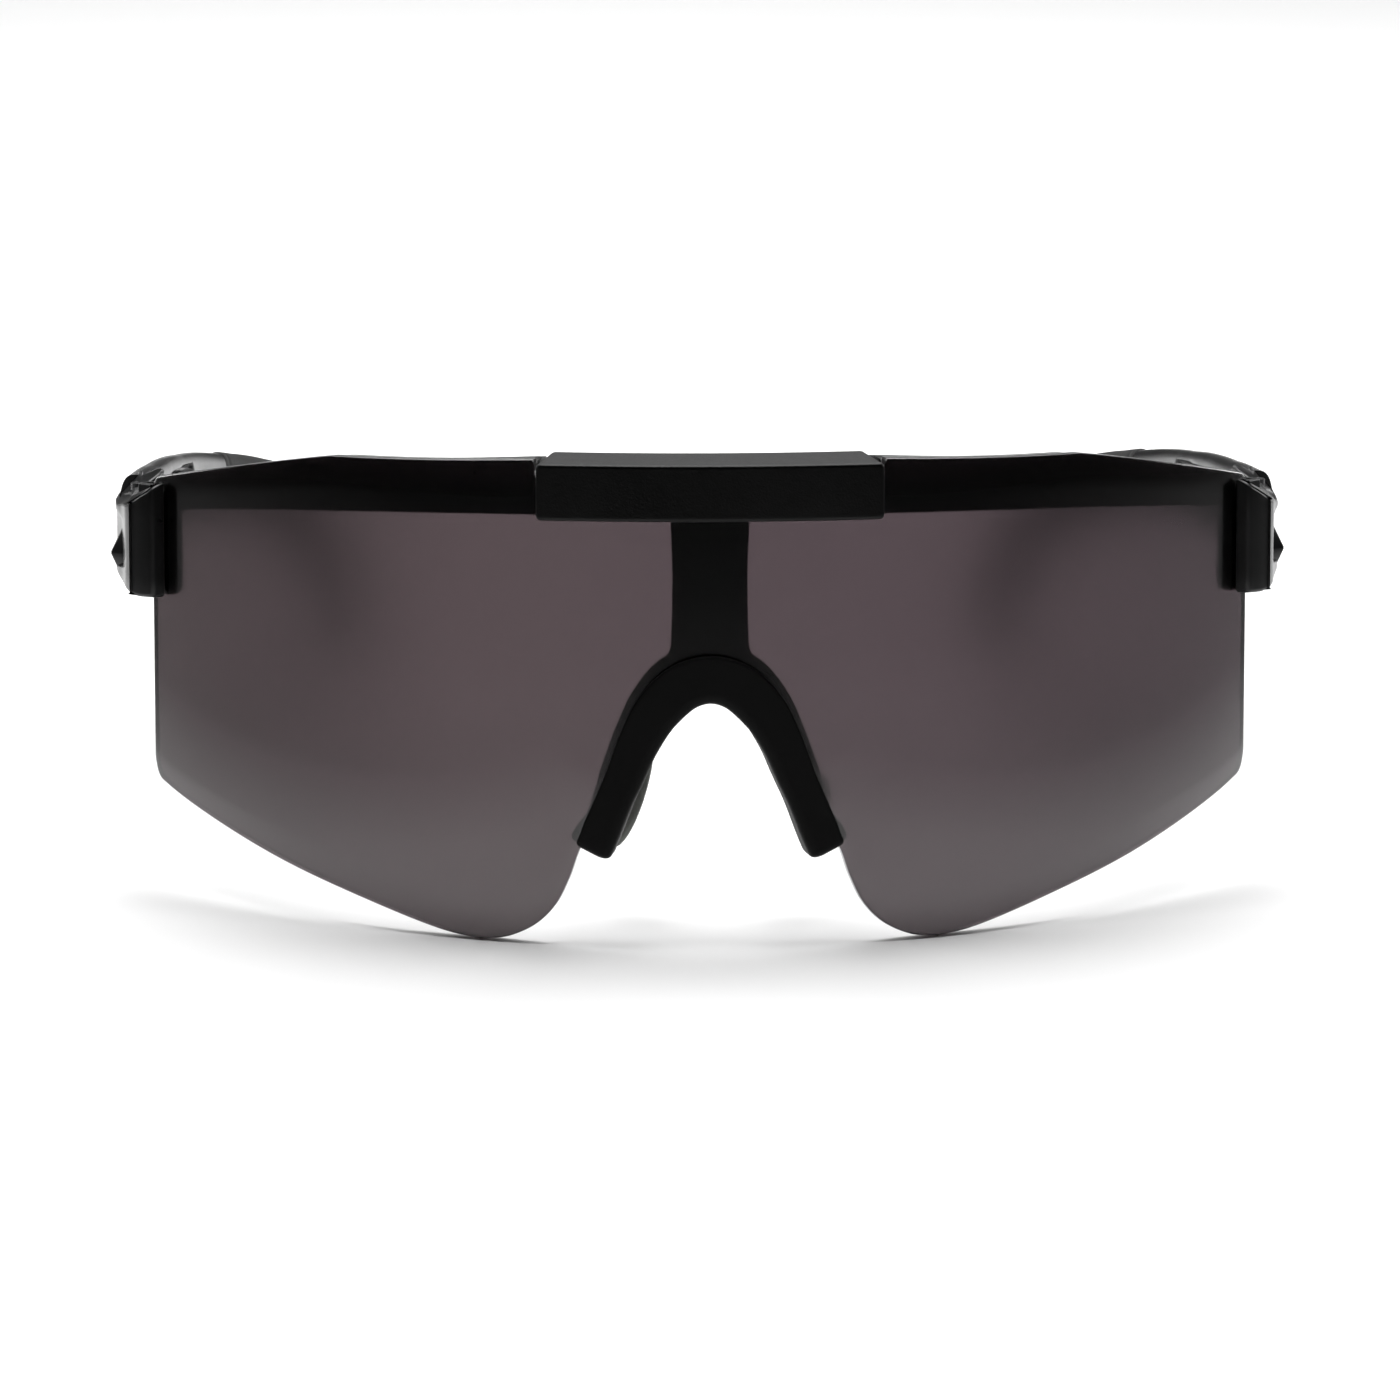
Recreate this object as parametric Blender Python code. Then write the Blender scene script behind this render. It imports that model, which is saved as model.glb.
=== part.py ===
"""Wraparound shield sunglasses: one curved lens in front of a T-shaped frame, a cap clipped over
the brow, a rubber nose arch, two pads on wires, and two temples that fold on vertical screws.

The front is modelled on a flat sheet of (u, w, z), in millimetres: u runs along the lens, w stands
out of its front face and z goes up. bend() then rolls the sheet round the lens's own cylinder.
-Y is the front, +X the wearer's left as seen from in front, and the glasses stand on z = 0."""

import math

import bmesh
import bpy
import numpy as np

MM = 0.001

# Lens
LENS_RADIUS = 88.0
LENS_WIDTH = 137.0
LENS_HEIGHT = 59.2
LENS_THICKNESS = 2.0
LENS_CHAMFER = 0.25
LOBE_U = 28.4
CORNER_Z = 15.4
SHOULDER_U = 48.0
SHOULDER_DROP = 0.9
END_DROP = 4.6

# Nose
NOSE_TOP_Z = 32.3
NOSE_END_Z = 12.0
ARCH_INSIDE = 2.9
ARCH_OUTSIDE = 3.0
ARCH_LIP = 0.9
SADDLE_WIDTH = 4.2
SADDLE_DEPTH = 1.5

# T-shaped frame behind the lens
BAR_HEIGHT = 7.0
BAR_DEPTH = 3.4
BAR_DEPTH_MIDDLE = 5.2
STEM_WIDTH = 10.0
STEM_WAIST = 0.35
STEM_DEPTH = 3.4
RECESS_DEPTH = 0.6
HOOK_WALL = 1.2
HOOK_LIP = 1.8
HOOK_LIP_DEPTH = 0.7
HOOK_LOW_Z = 39.2

# Brow cap
CAP_HALF = 20.9
CAP_HEIGHT = 6.8
CAP_WALL = 1.3
CAP_FRONT_DROP = 0.85
CAP_TOP_DROP = 2.2
CAP_RISE = 0.7
CAP_END_GAP = 0.6
CAP_SCREW_U = 12.5
CAP_BOSS_RADIUS = 1.5
CAP_SCREW_RADIUS = 0.6
CAP_HEAD_RADIUS = 2.3
CAP_HEAD = 0.8

# Hinges
HINGE_OUT = 1.4
HINGE_BACK = 5.2
KNUCKLE_RADIUS = 1.9
KNUCKLE_LOW_Z = 41.9
KNUCKLE_HIGH_Z = 48.6
SCREW_RADIUS = 0.7
SCREW_HEAD_RADIUS = 1.4
SCREW_HEAD = 0.9
NUT_RADIUS = 1.5
NUT_HEIGHT = 1.3

# Temples
LUG_LOW_Z = 38.9
LUG_HIGH_Z = 53.3
LUG_FLANGE = 1.9
LUG_WALL = 0.8
LUG_OVERLAP = 3.0
TEMPLE_REACH = 134.0
TEMPLE_THICKNESS = 4.2
TEMPLE_TIP_IN = 24.0
TEMPLE_TIP_Z = 15.2
ARM_SHARE = 0.5
CORE_START = 0.34
CORE_END = 0.93
CORE_WIDE = 3.2
CORE_THIN = 1.2
GRIP_START = 0.09
GRIP_END = 0.33
GRIP_DEPTH = 0.8
GRIP_PROUD = 0.3

# Nose pads
PAD_LONG = 14.0
PAD_WIDE = 7.4
PAD_THICK = 2.0
PAD_OUT = 2.0
PAD_BACK = 8.4
PAD_DOWN = 7.9
PAD_SPLAY = 18.0
PAD_TURN = 38.0
PAD_LEFT_TURN = 19.0
STUD_HALF = 1.3
STUD_RISE = 2.5
WIRE_RADIUS = 0.45
BARREL_RADIUS = 0.8
BARREL_HALF = 1.1
BARREL_PLACE = 2.1
BARREL_DROP = 8.2

# Clearances
GAP = 0.3
TURN_GAP = 0.4

LENS_END = LENS_RADIUS * math.asin(LENS_WIDTH / 2 / LENS_RADIUS)
BACK = -LENS_THICKNESS - GAP


def bend(rows):
    """(u, w, z) on the flat sheet to (x, y, z) round the lens cylinder, whose front is y = 0."""
    rows = np.asarray(rows, float)
    angle = rows[..., 0] / LENS_RADIUS
    reach = LENS_RADIUS + rows[..., 1]
    return np.stack((reach * np.sin(angle), LENS_RADIUS - reach * np.cos(angle), rows[..., 2]), -1)


def smooth_curve(points, steps):
    """A Catmull-Rom curve through the points, with this many steps between neighbours."""
    points = np.asarray(points, float)
    ends = np.vstack((2 * points[0] - points[1], points, 2 * points[-1] - points[-2]))
    t = (np.arange(steps) / steps)[:, None]
    rows = []
    for a, b, c, d in zip(ends, ends[1:], ends[2:], ends[3:]):
        rows.append(
            0.5 * (2 * b + (c - a) * t + (2 * a - 5 * b + 4 * c - d) * t**2 + (3 * b - a - 3 * c + d) * t**3)
        )
    rows.append(points[-1:])
    return np.vstack(rows)


def ease(value):
    """0 below 0, 1 above 1 and a smooth step between."""
    value = np.clip(value, 0.0, 1.0)
    return value * value * (3 - 2 * value)


# ---- outlines on the flat sheet ----


def nose_side():
    """The right half of the lens's nose cut, from its top down to the lowest point of the lobe."""
    steps = 3
    whole = smooth_curve(
        [
            (-3.4, NOSE_TOP_Z - 1.0),
            (0.0, NOSE_TOP_Z),
            (3.4, NOSE_TOP_Z - 1.0),
            (6.2, NOSE_TOP_Z - 3.8),
            (8.2, 24.9),
            (10.4, 20.0),
            (12.8, 15.1),
            (15.6, NOSE_END_Z),
            (17.2, 7.9),
            (18.9, 4.6),
            (21.4, 2.1),
            (24.8, 0.5),
            (LOBE_U, 0.0),
        ],
        steps,
    )
    return whole[steps:]


def lower_edge():
    """The right half of the lens's lower edge: nose cut, lobe, long slope and outer corner."""
    span = LENS_END - LOBE_U
    slope = smooth_curve(
        [
            (LOBE_U, 0.0),
            (LOBE_U + 0.11 * span, 0.065 * CORNER_Z),
            (LOBE_U + 0.32 * span, 0.27 * CORNER_Z),
            (LOBE_U + 0.56 * span, 0.515 * CORNER_Z),
            (LOBE_U + 0.82 * span, 0.82 * CORNER_Z),
            (LENS_END - 2.8, CORNER_Z - 0.3),
            (LENS_END - 0.9, CORNER_Z + 0.8),
            (LENS_END, CORNER_Z + 3.0),
        ],
        3,
    )
    return np.vstack((nose_side(), slope[1:]))


def lens_top(u):
    """Height of the lens's top edge: a slow fall to the shoulder, then a straight fall to the end."""
    u = np.abs(u)
    fall = SHOULDER_DROP * ease(u / SHOULDER_U)
    beyond = np.clip((u - SHOULDER_U) / (LENS_END - SHOULDER_U), 0, 1)
    corner = 1.4 * np.clip((u - LENS_END + 1.4) / 1.4, 0, 1) ** 2
    under_cap = np.where(u < CAP_HALF + CAP_END_GAP, CAP_TOP_DROP, 0.0)
    return LENS_HEIGHT - fall - END_DROP * beyond**1.1 - corner - under_cap


def bar_low(u):
    """Height of the bar's lower edge, which drops a little towards the lens's ends."""
    share = np.clip(np.abs(u) / LENS_END, 0, 1)
    return LENS_HEIGHT - BAR_HEIGHT - 0.3 - 2.6 * share**3


def both_sides(half):
    """Mirrors stations that start at u = 0 onto the other half."""
    half = np.unique(np.round(half, 4))
    return np.concatenate((-half[::-1], half[half > 0]))


# ---- meshes and objects ----


def clear_scene():
    for thing in list(bpy.data.objects):
        bpy.data.objects.remove(thing, do_unlink=True)


def material(name, colour, roughness, metallic=0.0):
    made = bpy.data.materials.new(name)
    made.use_nodes = True
    shader = made.node_tree.nodes["Principled BSDF"]
    shader.inputs["Base Color"].default_value = (*colour, 1.0)
    shader.inputs["Roughness"].default_value = roughness
    shader.inputs["Metallic"].default_value = metallic
    made.diffuse_color = (*colour, 1.0)
    return made


def new_object(name, vertices, faces, look, pivot=(0.0, 0.0, 0.0)):
    """A mesh object under the leaning parent, with its origin at the pivot (millimetres)."""
    pivot = np.asarray(pivot, float)
    mesh = bpy.data.meshes.new(name)
    mesh.from_pydata(((np.asarray(vertices) - pivot) * MM).tolist(), [], faces)
    grid = bmesh.new()
    grid.from_mesh(mesh)
    bmesh.ops.recalc_face_normals(grid, faces=grid.faces)
    if grid.calc_volume(signed=True) < 0:
        bmesh.ops.reverse_faces(grid, faces=grid.faces)
    grid.to_mesh(mesh)
    grid.free()
    mesh.shade_smooth()
    mesh.set_sharp_from_angle(angle=math.radians(32))
    made = bpy.data.objects.new(name, mesh)
    made.location = pivot * MM
    made.parent = bpy.data.objects["stance"]
    bpy.context.scene.collection.objects.link(made)
    if look:
        mesh.materials.append(look)
    return made


def loft(name, loops, look=None, pivot=(0.0, 0.0, 0.0)):
    """Closed loops with the same number of points, skinned in order, with a cap at each end."""
    loops = np.asarray(loops, float)
    rows, around = loops.shape[:2]
    faces = [tuple(range(around)), tuple(range((rows - 1) * around, rows * around))]
    for row in range(rows - 1):
        for at in range(around):
            after = (at + 1) % around
            low, high = row * around, (row + 1) * around
            faces.append((low + at, low + after, high + after, high + at))
    return new_object(name, loops.reshape(-1, 3), faces, look, pivot)


def tool(made):
    """Marks an object that only cuts or joins another."""
    made.hide_render = True
    made.display_type = "WIRE"
    return made


def combine(target, others, operation, solver="EXACT"):
    for other in others:
        step = target.modifiers.new(f"{operation.lower()} {other.name}", "BOOLEAN")
        step.operation = operation
        step.solver = solver
        step.object = tool(other)
    return target


def rod_loops(start, end, radius, sides=16):
    """Two rings round the line from start to end."""
    start, end = np.asarray(start, float), np.asarray(end, float)
    along = (end - start) / np.linalg.norm(end - start)
    side = np.cross(along, (0, 0, 1) if abs(along[2]) < 0.9 else (0, 1, 0))
    side /= np.linalg.norm(side)
    other = np.cross(along, side)
    turn = np.arange(sides)[:, None] * 2 * math.pi / sides
    ring = radius * (np.cos(turn) * side + np.sin(turn) * other)
    return [start + ring, end + ring]


def through_lens(u, z, front, back):
    """Two points on the line square to the lens at (u, z)."""
    return bend((u, front, z)), bend((u, back, z))


def prism_loops(outline, low, high):
    """A plan outline drawn at two heights, each a number or one value for each corner."""
    outline = np.asarray(outline, float)
    floor = np.column_stack((outline, np.broadcast_to(low, len(outline))))
    roof = np.column_stack((outline, np.broadcast_to(high, len(outline))))
    return [floor, roof]


def strip_loops(stations, low, high, front, back, chamfer):
    """Upright sections across the sheet: a rectangle with its four edges chamfered."""
    loops = []
    for u, z0, z1, w0, w1 in zip(stations, low, high, front, back):
        corners = [
            (w0, z0 + chamfer),
            (w0, z1 - chamfer),
            (w0 - chamfer, z1),
            (w1 + chamfer, z1),
            (w1, z1 - chamfer),
            (w1, z0 + chamfer),
            (w1 + chamfer, z0),
            (w0 - chamfer, z0),
        ]
        loops.append([(u, w, z) for w, z in corners])
    return bend(loops)


# ---- front ----


def make_lens(look):
    edge = lower_edge()
    notch = CAP_HALF + CAP_END_GAP
    step = np.array((notch - 0.02, notch + 0.02, LENS_END - 0.5))
    stations = both_sides(np.concatenate((edge[:, 0], step)))
    low = np.interp(np.abs(stations), edge[:, 0], edge[:, 1])
    flat = np.zeros(len(stations))
    lens = loft(
        "shield_lens",
        strip_loops(stations, low, lens_top(stations), flat, flat - LENS_THICKNESS, LENS_CHAMFER),
        look,
    )
    holes = []
    for side in (-1, 1):
        boss = through_lens(side * CAP_SCREW_U, boss_z(), 1.0, -LENS_THICKNESS - 1.0)
        holes.append(loft("lens_boss_hole", rod_loops(*boss, CAP_BOSS_RADIUS + GAP)))
    return combine(lens, holes, "DIFFERENCE")


def boss_z():
    """Height of the cap's bosses: the middle of its front face."""
    return LENS_HEIGHT - CAP_FRONT_DROP - CAP_HEIGHT / 2


def bar_depth(u):
    """The bar is deeper behind the cap and shallower along the brow."""
    return BAR_DEPTH + (BAR_DEPTH_MIDDLE - BAR_DEPTH) * (1 - ease((np.abs(u) - CAP_HALF) / 14))


def make_bar():
    notch = CAP_HALF + CAP_END_GAP
    end = LENS_END + GAP + HOOK_WALL
    extra = (notch - 0.02, notch + 0.02, LENS_END - 1.4)
    stations = both_sides(np.concatenate((np.linspace(0, end, 25), extra)))
    high = lens_top(np.minimum(np.abs(stations), LENS_END - 1.4)) - 0.3
    front = np.full(len(stations), BACK)
    back = front - bar_depth(stations)
    return loft("t_frame", strip_loops(stations, bar_low(stations), high, front, back, 0.4))


def make_hook(side):
    """The end of the frame behind, round and just in front of the lens's end, which it holds."""
    outer = LENS_END + GAP + HOOK_WALL
    inner = LENS_END + GAP
    lip = LENS_END - HOOK_LIP + 0.4
    rear = bend((LENS_END - 0.5, BACK, 0.0))
    outline = bend(
        [
            (LENS_END - 0.5, BACK, 0.0),
            (inner, BACK, 0.0),
            (inner, GAP, 0.0),
            (lip, GAP, 0.0),
            (lip, GAP + HOOK_LIP_DEPTH, 0.0),
            (outer, GAP + HOOK_LIP_DEPTH, 0.0),
            (outer, -1.8, 0.0),
        ]
    )[:, :2]
    outline = np.vstack((outline, (rear[0] + 0.5, rear[1] + 1.3), (rear[0], rear[1] + 0.9))) * (side, 1)
    high = float(lens_top(LENS_END - 1.4)) - 1.0
    return loft("hook", prism_loops(outline, HOOK_LOW_Z, high))


def nose_line():
    """The whole nose cut from the left leg's end over the top to the right one, with its normals."""
    half = nose_side()
    half = half[half[:, 1] >= NOSE_END_Z - 1e-6]
    line = np.vstack((half[:0:-1] * (-1, 1), half))
    along = np.gradient(line, axis=0)
    along /= np.linalg.norm(along, axis=1)[:, None]
    outward = np.column_stack((-along[:, 1], along[:, 0]))
    reach = np.concatenate(((0,), np.cumsum(np.linalg.norm(np.diff(line, axis=0), axis=1))))
    return line, outward, np.minimum(reach, reach[-1] - reach)


def nose_loops(section):
    """Sections across the nose line: section(from_end) gives (n, w) corners, n away from the nose."""
    line, outward, from_end = nose_line()
    loops = []
    for point, normal, distance in zip(line, outward, from_end):
        loops.append([(*(point + n * normal), w) for n, w in section(distance)])
    loops = np.asarray(loops)
    return bend(loops[..., [0, 2, 1]])


def saddle_section(from_end):
    width = SADDLE_WIDTH * float(np.interp(from_end, (0, 5, 10, 16, 22), (0.45, 0.65, 0.82, 0.9, 1.0)))
    return [(0.1, BACK), (width, BACK), (width, BACK - SADDLE_DEPTH), (0.1, BACK - SADDLE_DEPTH)]


def make_stem():
    """The upright between bar and saddle, slightly waisted."""
    heights = np.linspace(NOSE_TOP_Z + 0.8, LENS_HEIGHT - BAR_HEIGHT + 1.5, 12)
    share = np.linspace(0, 1, 12)
    half = STEM_WIDTH / 2 - STEM_WAIST * np.sin(math.pi * share)
    deep = SADDLE_DEPTH + (STEM_DEPTH - SADDLE_DEPTH) * ease((heights - NOSE_TOP_Z - 3.6) / 4)
    loops = []
    for z, x, depth in zip(heights, half, deep):
        loops.append(
            [
                (-x, BACK, z),
                (x, BACK, z),
                (x, BACK - depth + 0.6, z),
                (x - 0.6, BACK - depth, z),
                (-x + 0.6, BACK - depth, z),
                (-x, BACK - depth + 0.6, z),
            ]
        )
    return loft("stem", bend(loops))


def make_recess():
    """The V-shaped recess in the stem's front."""
    top = LENS_HEIGHT - BAR_HEIGHT - 1.0
    outline = [(-STEM_WIDTH / 2 + 0.5, top), (0.0, top - 11.5), (STEM_WIDTH / 2 - 0.5, top)]
    near = [(u, BACK + 1.0, z) for u, z in outline]
    far = [(u, BACK - RECESS_DEPTH, z) for u, z in outline]
    return loft("stem_recess", bend([near, far]))


def hinge_axis(side):
    """Plan position of a hinge's axis: outside and behind the lens's end."""
    end = bend((LENS_END, 0.0, 0.0))
    return np.array((side * (end[0] + HINGE_OUT), end[1] + HINGE_BACK))


def upright(side, low, high, radius, name, look=None, sides=20):
    """A round post on a hinge's axis."""
    x, y = hinge_axis(side)
    return loft(name, rod_loops((x, y, low), (x, y, high), radius, sides), look, (x, y, 0))


def make_knuckle(side):
    """The frame's hinge knuckle, with the bracket that joins it to the hook."""
    knuckle = upright(side, KNUCKLE_LOW_Z, KNUCKLE_HIGH_Z, KNUCKLE_RADIUS, "knuckle")
    x, y = hinge_axis(1)
    near = bend((LENS_END - 0.5, BACK, 0.0))[:2]
    far = bend((LENS_END + GAP + HOOK_WALL, -1.4, 0.0))[:2]
    around = ((x + 0.6, y - 1.6), (x, y), (x - 2.2, y + 1.1), (near[0], y - 0.6))
    outline = np.array((near + (0, 0.3), far, *around))
    bracket = loft("knuckle_bracket", prism_loops(outline * (side, 1), KNUCKLE_LOW_Z, KNUCKLE_HIGH_Z))
    return [knuckle, bracket]


def pad_station():
    """The nose line's point and outward normal where a pad's barrel stands, and its distance from the end."""
    line, outward, from_end = nose_line()
    right = line[:, 0] > 0
    place = np.argmin(np.abs(line[right, 1] - (NOSE_TOP_Z - BARREL_DROP)))
    return line[right][place], outward[right][place], from_end[right][place]


def pad_root(side):
    """Middle of a pad's barrel, behind the saddle."""
    point, normal, _ = pad_station()
    point = point + BARREL_PLACE * normal
    return bend((side * point[0], BACK - SADDLE_DEPTH - 1.5, point[1]))


def make_pad_boss(side):
    """A block on the saddle's back with an upright groove, open to the rear, for the pad's barrel."""
    x, y, z = pad_root(side)
    half = BARREL_RADIUS + GAP + 0.35
    front = y - 1.5 - 0.6
    outline = [(x - half, front), (x + half, front), (x + half, y + 0.5), (x - half, y + 0.5)]
    return loft("pad_boss", prism_loops(outline, z - BARREL_HALF - 0.1, z + BARREL_HALF + 0.1))


def make_frame(look):
    frame = make_bar()
    frame.data.materials.append(look)
    pieces = [loft("saddle", nose_loops(saddle_section)), make_stem()]
    cuts = [make_recess()]
    for side in (-1, 1):
        pieces.append(make_hook(side))
        pieces += make_knuckle(side)
        pieces.append(make_pad_boss(side))
        x, y, z = pad_root(side)
        groove = rod_loops((x, y, z - 3), (x, y, z + 3), BARREL_RADIUS + GAP)
        cuts.append(loft("pad_groove", groove))
        cuts.append(upright(side, KNUCKLE_LOW_Z - 1, KNUCKLE_HIGH_Z + 1, SCREW_RADIUS + GAP, "hinge_bore"))
        boss = through_lens(side * CAP_SCREW_U, boss_z(), 1.0, -12.0)
        cuts.append(loft("frame_boss_hole", rod_loops(*boss, CAP_BOSS_RADIUS + GAP)))
    combine(frame, pieces, "UNION")
    return combine(frame, cuts, "DIFFERENCE")


def make_cap(look):
    """The cap's front plate and the top that folds back over lens and bar, with two bosses."""
    front_top = LENS_HEIGHT - CAP_FRONT_DROP
    low = front_top - CAP_HEIGHT
    rear = BACK - BAR_DEPTH_MIDDLE
    face = GAP + CAP_WALL
    loops = []
    for u in both_sides(np.concatenate((np.linspace(0, CAP_HALF - 0.6, 12), (CAP_HALF - 0.18, CAP_HALF)))):
        shrink = 0.6 * ease((abs(u) - CAP_HALF + 0.6) / 0.6) ** 2
        section = [
            (GAP, low + shrink),
            (face - 0.3, low + shrink),
            (face, low + 0.3 + shrink),
            (face, front_top - 0.5 - shrink),
            (face - 0.5, front_top - shrink),
            (rear + 0.5, front_top + CAP_RISE - shrink),
            (rear, front_top + CAP_RISE - 0.6 - shrink),
            (rear, LENS_HEIGHT - CAP_TOP_DROP + GAP),
            (GAP, LENS_HEIGHT - CAP_TOP_DROP + GAP),
        ]
        loops.append([(u, w, z) for w, z in section])
    cap = loft("brow_cap", bend(loops), look)
    bosses, bores = [], []
    for side in (-1, 1):
        boss = through_lens(side * CAP_SCREW_U, boss_z(), GAP + 0.4, rear + 1.2)
        bosses.append(loft("cap_boss", rod_loops(*boss, CAP_BOSS_RADIUS)))
        bore = through_lens(side * CAP_SCREW_U, boss_z(), -0.6, rear - 1.0)
        bores.append(loft("cap_bore", rod_loops(*bore, CAP_SCREW_RADIUS + GAP)))
    combine(cap, bosses, "UNION")
    return combine(cap, bores, "DIFFERENCE")


def make_cap_screw(side, name, look):
    """A small screw from behind: its head bears on the bar, its shank runs up the cap's boss."""
    rear = BACK - BAR_DEPTH_MIDDLE
    inner, outer = through_lens(side * CAP_SCREW_U, boss_z(), -1.0, rear - 0.5)
    head = rear - GAP
    head_start, head_end = through_lens(side * CAP_SCREW_U, boss_z(), head - 0.05, head - CAP_HEAD)
    screw = loft(name, rod_loops(head_start, head_end, CAP_HEAD_RADIUS), look)
    return combine(screw, [loft("cap_shank", rod_loops(inner, outer, CAP_SCREW_RADIUS))], "UNION")


def arch_section(from_end):
    """A U lying round the nose edge: front lip, web and rear lip. The rear lip steps aside for the pads."""
    out = ARCH_OUTSIDE - 1.0 * (1 - ease(from_end / 20)) - 1.3 * (1 - ease(from_end / 2.5))
    inside = ARCH_INSIDE - 0.7 * (1 - ease((from_end - 12) / 10)) + 0.8 * (1 - ease(from_end / 4))
    from_pad = abs(from_end - pad_station()[2])
    rear = 2.0 - 2.1 * (1 - ease((from_pad - 2.3) / 1.5)) - 0.8 * (1 - ease(from_end / 3))
    front_face = GAP + ARCH_LIP
    back_face = BACK - SADDLE_DEPTH - GAP - ARCH_LIP
    return [
        (out, GAP),
        (out, front_face - 0.4),
        (out - 0.4, front_face),
        (-inside + 0.9, front_face),
        (-inside + 0.2, front_face - 0.5),
        (-inside, front_face - 1.3),
        (-inside + 0.2, back_face + 2.0),
        (-inside + 1.2, back_face),
        (rear - 0.05, back_face),
        (rear, back_face + 0.3),
        (rear, back_face + ARCH_LIP),
        (-GAP, back_face + ARCH_LIP),
        (-GAP, GAP),
    ]


# ---- temples ----


def temple_path():
    """The right temple's centre line from the lug's back to the ear tip, in millimetres."""
    x, y = hinge_axis(1)
    shares = [
        (0.045, 0.0, 46.0),
        (0.165, 0.045, 46.8),
        (0.31, 0.115, 46.8),
        (0.46, 0.21, 45.6),
        (0.61, 0.367, 43.4),
        (0.715, 0.53, 41.0),
        (0.79, 0.645, 38.6),
        (0.86, 0.775, 33.4),
        (0.93, 0.90, 25.0),
        (1.0, 1.0, TEMPLE_TIP_Z),
    ]
    points = [(x + 1.2 - inward * TEMPLE_TIP_IN, y + along * TEMPLE_REACH, z) for along, inward, z in shares]
    return smooth_curve(points, 6)


def temple_frames(start, end, count):
    """Points on the path by share of its length, with the outward and upward directions there."""
    path = temple_path()
    reach = np.concatenate(((0,), np.cumsum(np.linalg.norm(np.diff(path, axis=0), axis=1))))
    wanted = np.linspace(start, end, count)
    at = wanted * reach[-1]
    centre = np.column_stack([np.interp(at, reach, path[:, axis]) for axis in range(3)])
    tangent = np.column_stack([np.interp(at, reach, np.gradient(path[:, axis], reach)) for axis in range(3)])
    tangent /= np.linalg.norm(tangent, axis=1)[:, None]
    outward = np.cross(tangent, (0, 0, 1))
    outward /= np.linalg.norm(outward, axis=1)[:, None]
    return wanted, centre, outward, np.cross(outward, tangent)


def temple_height(share):
    shares = (0, 0.12, 0.3, 0.55, 0.72, 0.9, 0.97, 1.0)
    return np.interp(share, shares, (13.6, 11.0, 8.8, 8.0, 8.8, 9.0, 7.6, 4.6))


def temple_depth(share):
    shares = (0, 0.2, 0.5, 0.7, 0.95, 1.0)
    return TEMPLE_THICKNESS * np.interp(share, shares, (1.0, 0.86, 0.78, 0.9, 0.95, 0.6))


def tube_loops(frames, half_out, half_up, power, sides, shift=0.0):
    """Superellipse sections |a|^p + |b|^p = 1 along the temple, shifted outwards if asked."""
    _, centre, outward, upward = frames
    turn = np.arange(sides) * 2 * math.pi / sides
    across = np.sign(np.cos(turn)) * np.abs(np.cos(turn)) ** (2 / power)
    rise = np.sign(np.sin(turn)) * np.abs(np.sin(turn)) ** (2 / power)
    half_out = np.broadcast_to(half_out, len(centre))
    half_up = np.broadcast_to(half_up, len(centre))
    return (
        centre[:, None]
        + (half_out[:, None] * across + shift)[..., None] * outward[:, None]
        + (half_up[:, None] * rise)[..., None] * upward[:, None]
    )


def mirrored(loops, side):
    return np.asarray(loops) * (side, 1, 1)


def temple_piece(name, side, loops, look=None):
    x, y = hinge_axis(side)
    return loft(name, mirrored(loops, side), look, (x, y, 0))


def lug_outline():
    """Plan of the right lug: its flange stands in front of the hook, and its ears are round the axis."""
    x, y = hinge_axis(1)
    foot = LENS_END - LUG_OVERLAP
    outer = LENS_END + GAP + HOOK_WALL + TURN_GAP
    roof = GAP + HOOK_LIP_DEPTH + TURN_GAP
    flange = bend(
        [
            (outer, -1.2, 0.0),
            (outer, roof, 0.0),
            (foot + LUG_WALL, roof, 0.0),
            (foot + LUG_WALL, GAP, 0.0),
            (foot, GAP, 0.0),
            (foot + 0.2, GAP + LUG_FLANGE, 0.0),
        ]
    )[:, :2]
    body = [
        (x + 0.6, y - 6.9),
        (x + 1.7, y - 4.4),
        (x + 2.5, y - 1.8),
        (x + 3.3, y + 1.3),
        (x + 3.6, y + 4.4),
        (x + 3.8, y + 8.5),
        (x + 0.3, y + 8.5),
        (x + 0.2, y + 4.2),
        (x - 1.3, y + 2.6),
        (x - 2.5, y + 1.4),
        (x - 2.9, y - 0.2),
        (x - 2.4, y - 1.6),
    ]
    return np.vstack((flange, body))


def make_lug_block(side):
    """Front view of the lug: its top falls outwards and rises backwards, its bottom turns up outside."""
    start = bend((LENS_END - LUG_OVERLAP, 0.0, 0.0))
    below = [(-2.3, 0.0), (3.6, 0.0), (4.7, 0.3), (5.7, 1.2), (6.3, 2.6), (7.0, 5.0), (11.0, 5.0)]
    above = [(out, -0.35 * out - 0.06 * out**2) for out in (11.0, 7.5, 5.5, 3.5, 1.5, -2.3)]
    rim = [(start[0] + out, LUG_LOW_Z + rise) for out, rise in below]
    front = rim + [(start[0] + out, LUG_HIGH_Z + fall - 0.5) for out, fall in above]
    back = rim + [(start[0] + out, LUG_HIGH_Z + fall + 1.9) for out, fall in above]
    loops = [[(x, start[1] - 5.3, z) for x, z in front], [(x, start[1] + 16.1, z) for x, z in back]]
    return temple_piece("lug_block", side, loops)


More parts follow.
